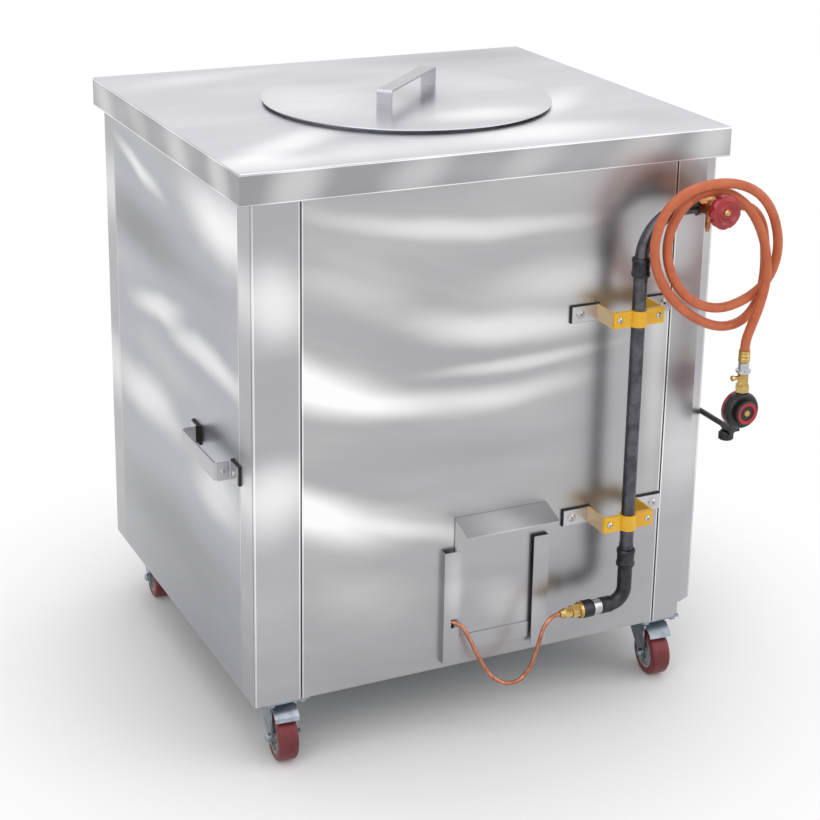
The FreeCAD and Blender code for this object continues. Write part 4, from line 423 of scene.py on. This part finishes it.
def make_metal_finishes():
    """The solid metals, with the names of the nodes that take them."""
    return {
        # Spangled zinc on sheet: dull grey, in soft patches.
        solid_metal("galvanised_sheet", "a9adb0", "8c9196", 0.4, patch_mm=22): ["base_tray", "air_duct"],
        # Sand cast iron: nearly black, matt and rough.
        solid_metal("grey_cast_iron", "46474a", "37383b", 0.62, grain_mm=1.8, depth_mm=0.15): ["burner"],
        # Turned brass: pale gold, with fine tool marks that break up its gloss.
        solid_metal("machined_brass", "d2b878", "b8965a", 0.26, patch_mm=9):
            ["burner_jet", "brass_fittings", "hose_fittings", "valve_spindle"],
        # Cast bronze: coppery, with a grain from the mould.
        solid_metal("cast_bronze", "c08a60", "9c6440", 0.32, patch_mm=9, grain_mm=1.6, depth_mm=0.05):
            ["valve_body"],
        # Drawn copper tube: smooth, with brown patches from handling.
        solid_metal("drawn_copper", "cb8a6e", "ab664e", 0.27, patch_mm=12): ["copper_tube"],
        # Welded steel pipe under its black mill scale: dark grey, with a soft gloss.
        solid_metal("black_iron_pipe", "66676c", "48494e", 0.34, patch_mm=20, grain_mm=2.4, speckle=0.25):
            ["riser_pipe", "top_bend"],
        # Malleable iron fittings, blackened: darker and rougher than the pipe.
        solid_metal("blackened_malleable_iron", "4c4d51", "38393c", 0.42, grain_mm=1.6, depth_mm=0.1,
                    speckle=0.3): ["pipe_elbow", "pipe_couplings", "union_nut"],
        # Nickel plate on steel: bright, cool and nearly smooth.
        solid_metal("nickel_plated_steel", "cfd0d2", "b4b5b8", 0.2):
            ["union_ring", "hose_nut", "panel_screws"],
        # Zinc plate with a blue passivate on pressed steel: a cool grey that changes in patches.
        solid_metal("blue_passivated_zinc", "a9b1ba", "8d96a0", 0.3):
            nodes_named("castor_plates", "castor_bolts", "castor_fork", "brake_pedal"),
    }


def make_coated_finishes():
    """Paints, plastics, rubbers, clay and wool, with the names of the nodes that take them."""
    return {
        # Baked enamel on the frame: black, half matt.
        coated("black_frame_enamel", "242528", "1c1d20", 0.45): ["base_frame"],
        # Fired clay: brick red, quite matt, with grog that roughens it and darker fired patches.
        coated("fired_clay", "b4714f", "8f5439", 0.85, patch_mm=60, skin_mm=3.0, depth_mm=0.5):
            ["clay_pot"],
        # Mineral wool: a pale straw felt, painted nearly black next to the casing as painted shade.
        coated("mineral_wool", "cdbf8f", "b7a877", 0.93, skin_mm=2.0, depth_mm=1.0, marks=painted_packing_shade):
            ["insulation_fill"],
        # Blackened steel: a thin oxide, half matt.
        coated("blackened_steel_stem", "1c1d20", "141517", 0.4): ["inlet_stem"],
        # Powder coat: a golden yellow with a faint orange peel.
        coated("yellow_powder_coat", "edb80f", "dfa60b", 0.34, coat=0.2, marks=bracket_paint):
            ["clamp_brackets", "clamp_straps"],
        # Rubber sheet: black and matt.
        coated("black_rubber_pad", "18181a", "111113", 0.7): ["backing_pads"],
        # Stoved enamel on the cast handwheel: deep red under a clear gloss.
        coated("crimson_enamel", "b01422", "930d1b", 0.28, coat=0.4): ["handwheel"],
        # Extruded rubber hose: orange, half matt, slightly dusty.
        coated("orange_hose_rubber", "cb6a41", "bb5c35", 0.45, skin_mm=0.9): ["hose"],
        # Enamel on a die-cast case: dark red, glossy.
        coated("red_die_cast_enamel", "9a1620", "7d0f18", 0.32, coat=0.4, marks=regulator_paint):
            ["regulator_body"],
        # Moulded nylon: black, with the soft gloss of a spark-eroded mould.
        coated("moulded_black_nylon", "191a1c", "121315", 0.4, skin_mm=0.8):
            ["regulator_cap", "shutoff_knob"],
        # The same nylon, with the dial's printed ring and the brass screw in its middle.
        coated("printed_nylon_dial", "191a1c", "121315", 0.38, skin_mm=0.8, marks=dial_paint):
            ["regulator_dial"],
        # Moulded polypropylene: pale grey, slightly waxy.
        coated("grey_polypropylene_hub", "a9abad", "9c9ea0", 0.4): nodes_named("castor_hub"),
        # Cast polyurethane tread: maroon, smooth, a little glossy.
        coated("maroon_polyurethane_tread", "7a2a2f", "642026", 0.42, coat=0.15, ior=1.45):
            nodes_named("castor_tyre"),
    }


def paint(piece, material):
    piece.data.materials.clear()
    piece.data.materials.append(material)


def dress_nodes():
    """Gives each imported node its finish, and returns the finish of each node by name."""
    finish = {}
    finishes = {**make_sheet_finishes(), **make_metal_finishes(), **make_coated_finishes()}
    for material, names in finishes.items():
        for name in names:
            finish[name] = material
            paint(NODES[name], material)
    return finish


# ---- the gas hose ------------------------------------------------------------------------

HOSE_RADIUS = 7.5 * MM
# Millimetres from the casing's right side, out in front of the casing, and from the outlet's height.
HOSE_ROUTE = [
    (-2.763, 52, -5.017), (17.13, 52, -7.11), (36.2, 52.5, -18.9), (50, 53, -39.5),
    (56, 53.5, -69.1), (59.4, 54, -105.2), (56.7, 55, -140.1), (43.1, 57, -173), (12.6, 62, -193.8),
    (-31.6, 66, -193.5), (-83.3, 70, -167.4), (-123.9, 74, -132.3), (-151.4, 77, -92.3),
    (-161.8, 78, -51.3), (-155.2, 79, -11.4), (-134.7, 83, 21.6), (-101.3, 89, 41.5),
    (-46, 91, 45.4), (5.1, 88, 29.2), (42.8, 82, -5.1), (64.1, 77, -54.2), (65.4, 74, -95.3),
    (48.7, 73, -130.1), (13.2, 73, -151.9), (-32.1, 73, -161.7), (-77, 73, -148.5),
    (-113.6, 73, -116.4), (-134, 73, -74.4), (-134.4, 73, -32.4), (-114.8, 73.5, 6.5),
    (-82.3, 74, 28.5), (-39.1, 75, 27.4), (-3.3, 79, 6.1), (20.3, 84, -27), (33.6, 89, -67.2),
    (36.8, 92, -114.2), (29, 90, -157), (18.3, 85, -193.8), (13.7, 80, -217.7), (13.7, 80, -231.6)]


def make_hose(finish):
    """The hose as one smooth spline whose control points are the route's points."""
    points = [(CASING_SIDE + x * MM, CASING_FRONT - out * MM, OUTLET_HEIGHT + z * MM)
              for x, out, z in HOSE_ROUTE]
    curve = bpy.data.curves.new("gas_hose", "CURVE")
    curve.dimensions = "3D"
    spline = curve.splines.new("NURBS")
    spline.points.add(len(points) - 1)
    for control, point in zip(spline.points, points):
        control.co = (*point, 1.0)
    spline.order_u = 3
    spline.use_endpoint_u = True
    spline.resolution_u = 8
    curve.bevel_depth = HOSE_RADIUS
    curve.bevel_resolution = 8
    curve.use_fill_caps = True
    hose = bpy.data.objects.new("gas_hose", curve)
    bpy.context.scene.collection.objects.link(hose)
    paint(hose, finish["hose"])
    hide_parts("hose")
    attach(hose, "oven")


# ---- small pieces -----------------------------------------------------------------------


def add_piece(name, grids, body, material, closed=(True, True)):
    """One piece of several surfaces, each a grid of points of shape (rows, columns, 3).

    closed says whether the rows and the columns run round. Quads join each point to the next in both
    directions, doubles are merged at the poles, and the faces are turned outwards.
    """
    points, quads, start = [], [], 0
    for grid in grids:
        rows, columns = grid.shape[:2]
        row = np.arange(rows if closed[0] else rows - 1)[:, None]
        column = np.arange(columns if closed[1] else columns - 1)[None, :]
        next_row, next_column = (row + 1) % rows, (column + 1) % columns
        corners = [row * columns + column, row * columns + next_column, next_row * columns + next_column,
                   next_row * columns + column]
        quads.append(np.stack(np.broadcast_arrays(*corners), axis=-1).reshape(-1, 4) + start)
        points.append(grid.reshape(-1, 3))
        start += rows * columns
    mesh = bpy.data.meshes.new(name)
    mesh.from_pydata(np.concatenate(points).tolist(), [], np.concatenate(quads).tolist())
    tidy = bmesh.new()
    tidy.from_mesh(mesh)
    bmesh.ops.remove_doubles(tidy, verts=tidy.verts, dist=1e-6)
    bmesh.ops.recalc_face_normals(tidy, faces=tidy.faces)
    tidy.to_mesh(mesh)
    tidy.free()
    mesh.polygons.foreach_set("use_smooth", np.ones(len(mesh.polygons), dtype=bool))
    piece = bpy.data.objects.new(name, mesh)
    bpy.context.scene.collection.objects.link(piece)
    paint(piece, material)
    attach(piece, body)
    return piece


def across(axis):
    """Two unit vectors square to an axis and to each other."""
    first = np.cross(axis, (0.0, 0.0, 1.0) if abs(axis[2]) < 0.9 else (1.0, 0.0, 0.0))
    first /= np.linalg.norm(first)
    return first, np.cross(axis, first)


def ring(middle, axis, radius, width, rise, ribs=0, around=48, section=10):
    """A band round an axis, in millimetres: its section is an ellipse carried round a circle.

    Point (u, w) is middle + axis * width / 2 * cos w + outward(u) * (radius + rise * sin w * ribbing),
    and ribbing is 0.75 + 0.25 * cos(ribs * u).
    """
    middle, axis = np.array(middle, float), np.array(axis, float)
    first, second = across(axis)
    u = np.linspace(0, 2 * np.pi, around, endpoint=False)[:, None, None]
    w = np.linspace(0, 2 * np.pi, section, endpoint=False)[None, :, None]
    outward = first * np.cos(u) + second * np.sin(u)
    ribbing = 0.75 + 0.25 * np.cos(ribs * u)
    return (middle + axis * width / 2 * np.cos(w) + outward * (radius + rise * np.sin(w) * ribbing)) * MM


def recess(middle, axis, radius, turn=0.4):
    """The cross in a screw's head, as a thin lens with four lobes, which in black is painted shade.

    Its edge lies at radius * (0.3 + 0.7 * cos(2 u) ** 4) from the middle. Row t goes from the lens's
    front pole over its edge to its back pole: its share of that radius is sin t, its height 0.12 * cos t.
    """
    middle, axis = np.array(middle, float), np.array(axis, float)
    first, second = across(axis)
    u = np.linspace(0, 2 * np.pi, 48, endpoint=False)[None, :, None]
    t = np.linspace(0, np.pi, 7)[:, None, None]
    outward = first * np.cos(u + turn) + second * np.sin(u + turn)
    lobes = radius * (0.3 + 0.7 * np.cos(2 * u) ** 4)
    return (middle + outward * lobes * np.sin(t) + axis * 0.12 * np.cos(t)) * MM


def middle_of(node):
    """The middle of a node's box, in millimetres."""
    low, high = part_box(node)
    return [(a + b) / 2 / MM for a, b in zip(low, high)]


# Sizes and places of what the small pieces sit on, in millimetres.
PIPE_RADIUS = 10.65
THREAD_PITCH = 1.814                            # half-inch pipe thread
THREAD_TURNS = 5
COUPLING_ENDS = ((275.5, 1), (722.5, -1))       # height of a coupling's inner end, and the way off it
HEAD_HEIGHT = 2.8                               # of the domed screws
SHEET = 3.0                                     # thickness of straps and pads
CLAMP_HEIGHTS = (657, 322)
TAB_BOLT, EAR_BOLT = 74, 34                     # off the pipe's axis
HANDLE_HEIGHT = 460
HANDLE_MIDDLE, HANDLE_SCREW = 151, 88.5         # behind the front, and either way from there
CAP_RIBS_BACK = 5.5                             # ribs' middle, in front of the cap's back

# The rings themselves, as radius, width and rise, and the reach of the crosses.
THREAD = (PIPE_RADIUS + 0.05, THREAD_PITCH * 0.8, 0.5)
WASHER = (6.0, 0.8, 1.4)
CAP_RIM, DIAL_RIM = (28.6, 6.0, 1.0), (19.2, 5.0, 0.7)
HUB_RINGS = ((11.2, (19.5, 1.6, 0.9)), (11.4, (12.5, 1.6, 1.2)))    # each with its place on the axle
TYRE_RING = (15.2, (31.5, 1.4, 0.5))
TAB_CROSS, SMALL_CROSS = 2.8, 2.3


def make_small_pieces(finish):
    """Pipe threads, screw crosses in black as painted shade, washers, ribs, and rings on hubs and tyres.
    """
    up, forward, along = (0, 0, 1), (0, -1, 0), (0, 1, 0)
    pipe_x, pipe_y, _ = middle_of("riser_pipe")
    threads = [ring((pipe_x, pipe_y, z + way * THREAD_PITCH * (turn + 0.6)), up, *THREAD)
               for z, way in COUPLING_ENDS for turn in range(THREAD_TURNS)]
    add_piece("pipe_threads", threads, "oven", finish["riser_pipe"])

    front, side_face = CASING_FRONT / MM, abs(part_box("left_panel")[0].x / MM)
    tab_y, ear_y = front - 2 * SHEET, pipe_y - SHEET - HEAD_HEIGHT
    crosses, washers = [], []
    for z in CLAMP_HEIGHTS:
        for side in (-1, 1):
            tab_x, ear_x = pipe_x + side * TAB_BOLT, pipe_x + side * EAR_BOLT
            washers.append(ring((tab_x, tab_y - 0.4, z), forward, *WASHER))
            crosses.append(recess((tab_x, tab_y - HEAD_HEIGHT, z), forward, TAB_CROSS))
            crosses.append(recess((ear_x, ear_y, z), forward, SMALL_CROSS))
    for side in (-1, 1):
        for way in (-1, 1):
            x = side * (side_face + 2 * SHEET + HEAD_HEIGHT)
            y = front + HANDLE_MIDDLE + way * HANDLE_SCREW
            crosses.append(recess((x, y, HANDLE_HEIGHT), (side, 0, 0), SMALL_CROSS))
    # The crosses take the black rubber's colour: painted shade for the screws' recesses.
    add_piece("screw_crosses", crosses, "oven", finish["backing_pads"],
              closed=(False, True))
    add_piece("clamp_washers", washers, "oven", finish["panel_screws"])

    x, _, z = middle_of("regulator_cap")
    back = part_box("regulator_cap")[1].y / MM
    cap_ribs = ring((x, back - CAP_RIBS_BACK, z), along, *CAP_RIM, ribs=48, around=384)
    add_piece("cap_ribs", [cap_ribs], "oven", finish["regulator_cap"])
    dial_ribs = ring(middle_of("regulator_dial"), along, *DIAL_RIM, ribs=30, around=240)
    add_piece("dial_ribs", [dial_ribs], "regulator_dial", finish["regulator_cap"])

    for joint in frame["record"]["behaviour"]["joints"]:
        if joint["name"].startswith("wheel_"):
            hub, axle = np.array(joint["pos_m"]) / MM, np.array(joint["axis"])
            body = joint["child"]
            corner = body.replace("wheel_", "")
            hub_rings, tyre_rings = (
                [ring(hub + side * axle * out, side * axle, *size)
                 for side in (-1, 1) for out, size in kind] for kind in (HUB_RINGS, (TYRE_RING,)))
            add_piece(f"hub_rings_{corner}", hub_rings, body, finish[f"castor_hub_{corner}"])
            add_piece(f"tyre_rings_{corner}", tyre_rings, body,
                      finish[f"castor_tyre_{corner}"])


# ---- studio ------------------------------------------------------------------------------


FLOOR_REACH = 30.0              # metres from the middle to the floor's edges
SHADOW_EDGE = (0.30, 1.0)       # metres from the middle between which the floor's shade fades
SURROUNDINGS = 0.55             # strength of the world's light on surfaces that don't mirror it


def make_studio():
    """Pale floor, white surroundings and large soft lamps."""
    scene = bpy.context.scene
    scene.view_settings.view_transform = "Standard"
    floor = bpy.data.meshes.new("floor")
    corners = [(x * FLOOR_REACH, y * FLOOR_REACH, 0) for x, y in ((-1, -1), (1, -1), (1, 1), (-1, 1))]
    floor.from_pydata(corners, [], [(0, 1, 2, 3)])
    floor_object = bpy.data.objects.new("floor", floor)
    scene.collection.objects.link(floor_object)
    floor.materials.append(floor_finish())
    make_world(scene)
    lamp("key", (-3.6, -3.9, 4.4), 5.5, 112)
    lamp("fill", (4.2, -3.4, 3.2), 5.0, 75)
    lamp("overhead", (0.3, 0.8, 5.2), 5.0, 84)


def seen_by_eye_or_mirror(tree):
    """1 for rays from the camera, from a reflection or through glass, which see plain white."""
    path = add(tree, "ShaderNodeLightPath").node
    seen = path.outputs["Is Camera Ray"]
    for kind in ("Is Glossy Ray", "Is Transmission Ray"):
        seen = add(tree, "ShaderNodeMath", {0: seen, 1: path.outputs[kind]}, operation="MAXIMUM")
    return seen


def floor_finish():
    """Matt white floor that keeps a soft shadow near the oven and fades to plain white away from it."""
    material, tree, shader, place = new_finish("matt_white_floor")
    mottle = add(tree, "ShaderNodeTexNoise", {"Vector": place, "Scale": 2.0, "Detail": 2.0})
    shade = add(tree, "ShaderNodeValToRGB", {"Fac": mottle}, stops=[(0.3, "f5f5f5"), (0.7, "f8f8f8")])
    tree.links.new(shade, shader.inputs["Base Color"])
    shader.inputs["Roughness"].default_value = 0.9
    shader.inputs["Specular IOR Level"].default_value = 0.0
    seen = seen_by_eye_or_mirror(tree)
    away = add(tree, "ShaderNodeVectorMath", {0: place}, out="Value", operation="LENGTH")
    far = add(tree, "ShaderNodeMapRange", {"Value": away, "From Min": SHADOW_EDGE[0],
                                           "From Max": SHADOW_EDGE[1]}, interpolation_type="SMOOTHERSTEP")
    plain = add(tree, "ShaderNodeMath", {0: seen, 1: far}, operation="MULTIPLY")
    white = add(tree, "ShaderNodeEmission", {"Color": (1, 1, 1, 1), "Strength": 1.0})
    both = add(tree, "ShaderNodeMixShader", {0: plain, 1: shader.outputs[0], 2: white})
    tree.links.new(both, tree.nodes["Material Output"].inputs["Surface"])
    return material


def make_world(scene):
    """White to the camera and to reflections, a plain grey light to everything else."""
    world = bpy.data.worlds.new("studio")
    world.use_nodes = True
    scene.world = world
    tree = world.node_tree
    seen = seen_by_eye_or_mirror(tree)
    strength = add(tree, "ShaderNodeMapRange", {"Value": seen, "To Min": SURROUNDINGS, "To Max": 1.0})
    background = tree.nodes["Background"]
    background.inputs["Color"].default_value = (1, 1, 1, 1)
    tree.links.new(strength, background.inputs["Strength"])


def lamp(name, place, size, power):
    """A square soft lamp that looks at the middle of the oven: size in metres, power in watts."""
    light = bpy.data.lights.new(name, "AREA")
    light.shape, light.size, light.energy = "SQUARE", size, power
    lamp_object = bpy.data.objects.new(name, light)
    aim = Vector((0, 0, 0.5)) - Vector(place)
    turn = aim.to_track_quat("-Z", "Y").to_matrix().to_4x4()
    lamp_object.matrix_world = Matrix.Translation(place) @ turn
    bpy.context.scene.collection.objects.link(lamp_object)


# ---- build ------------------------------------------------------------------------------


make_camera()
finish_of = dress_nodes()
make_hose(finish_of)
make_small_pieces(finish_of)
make_studio()
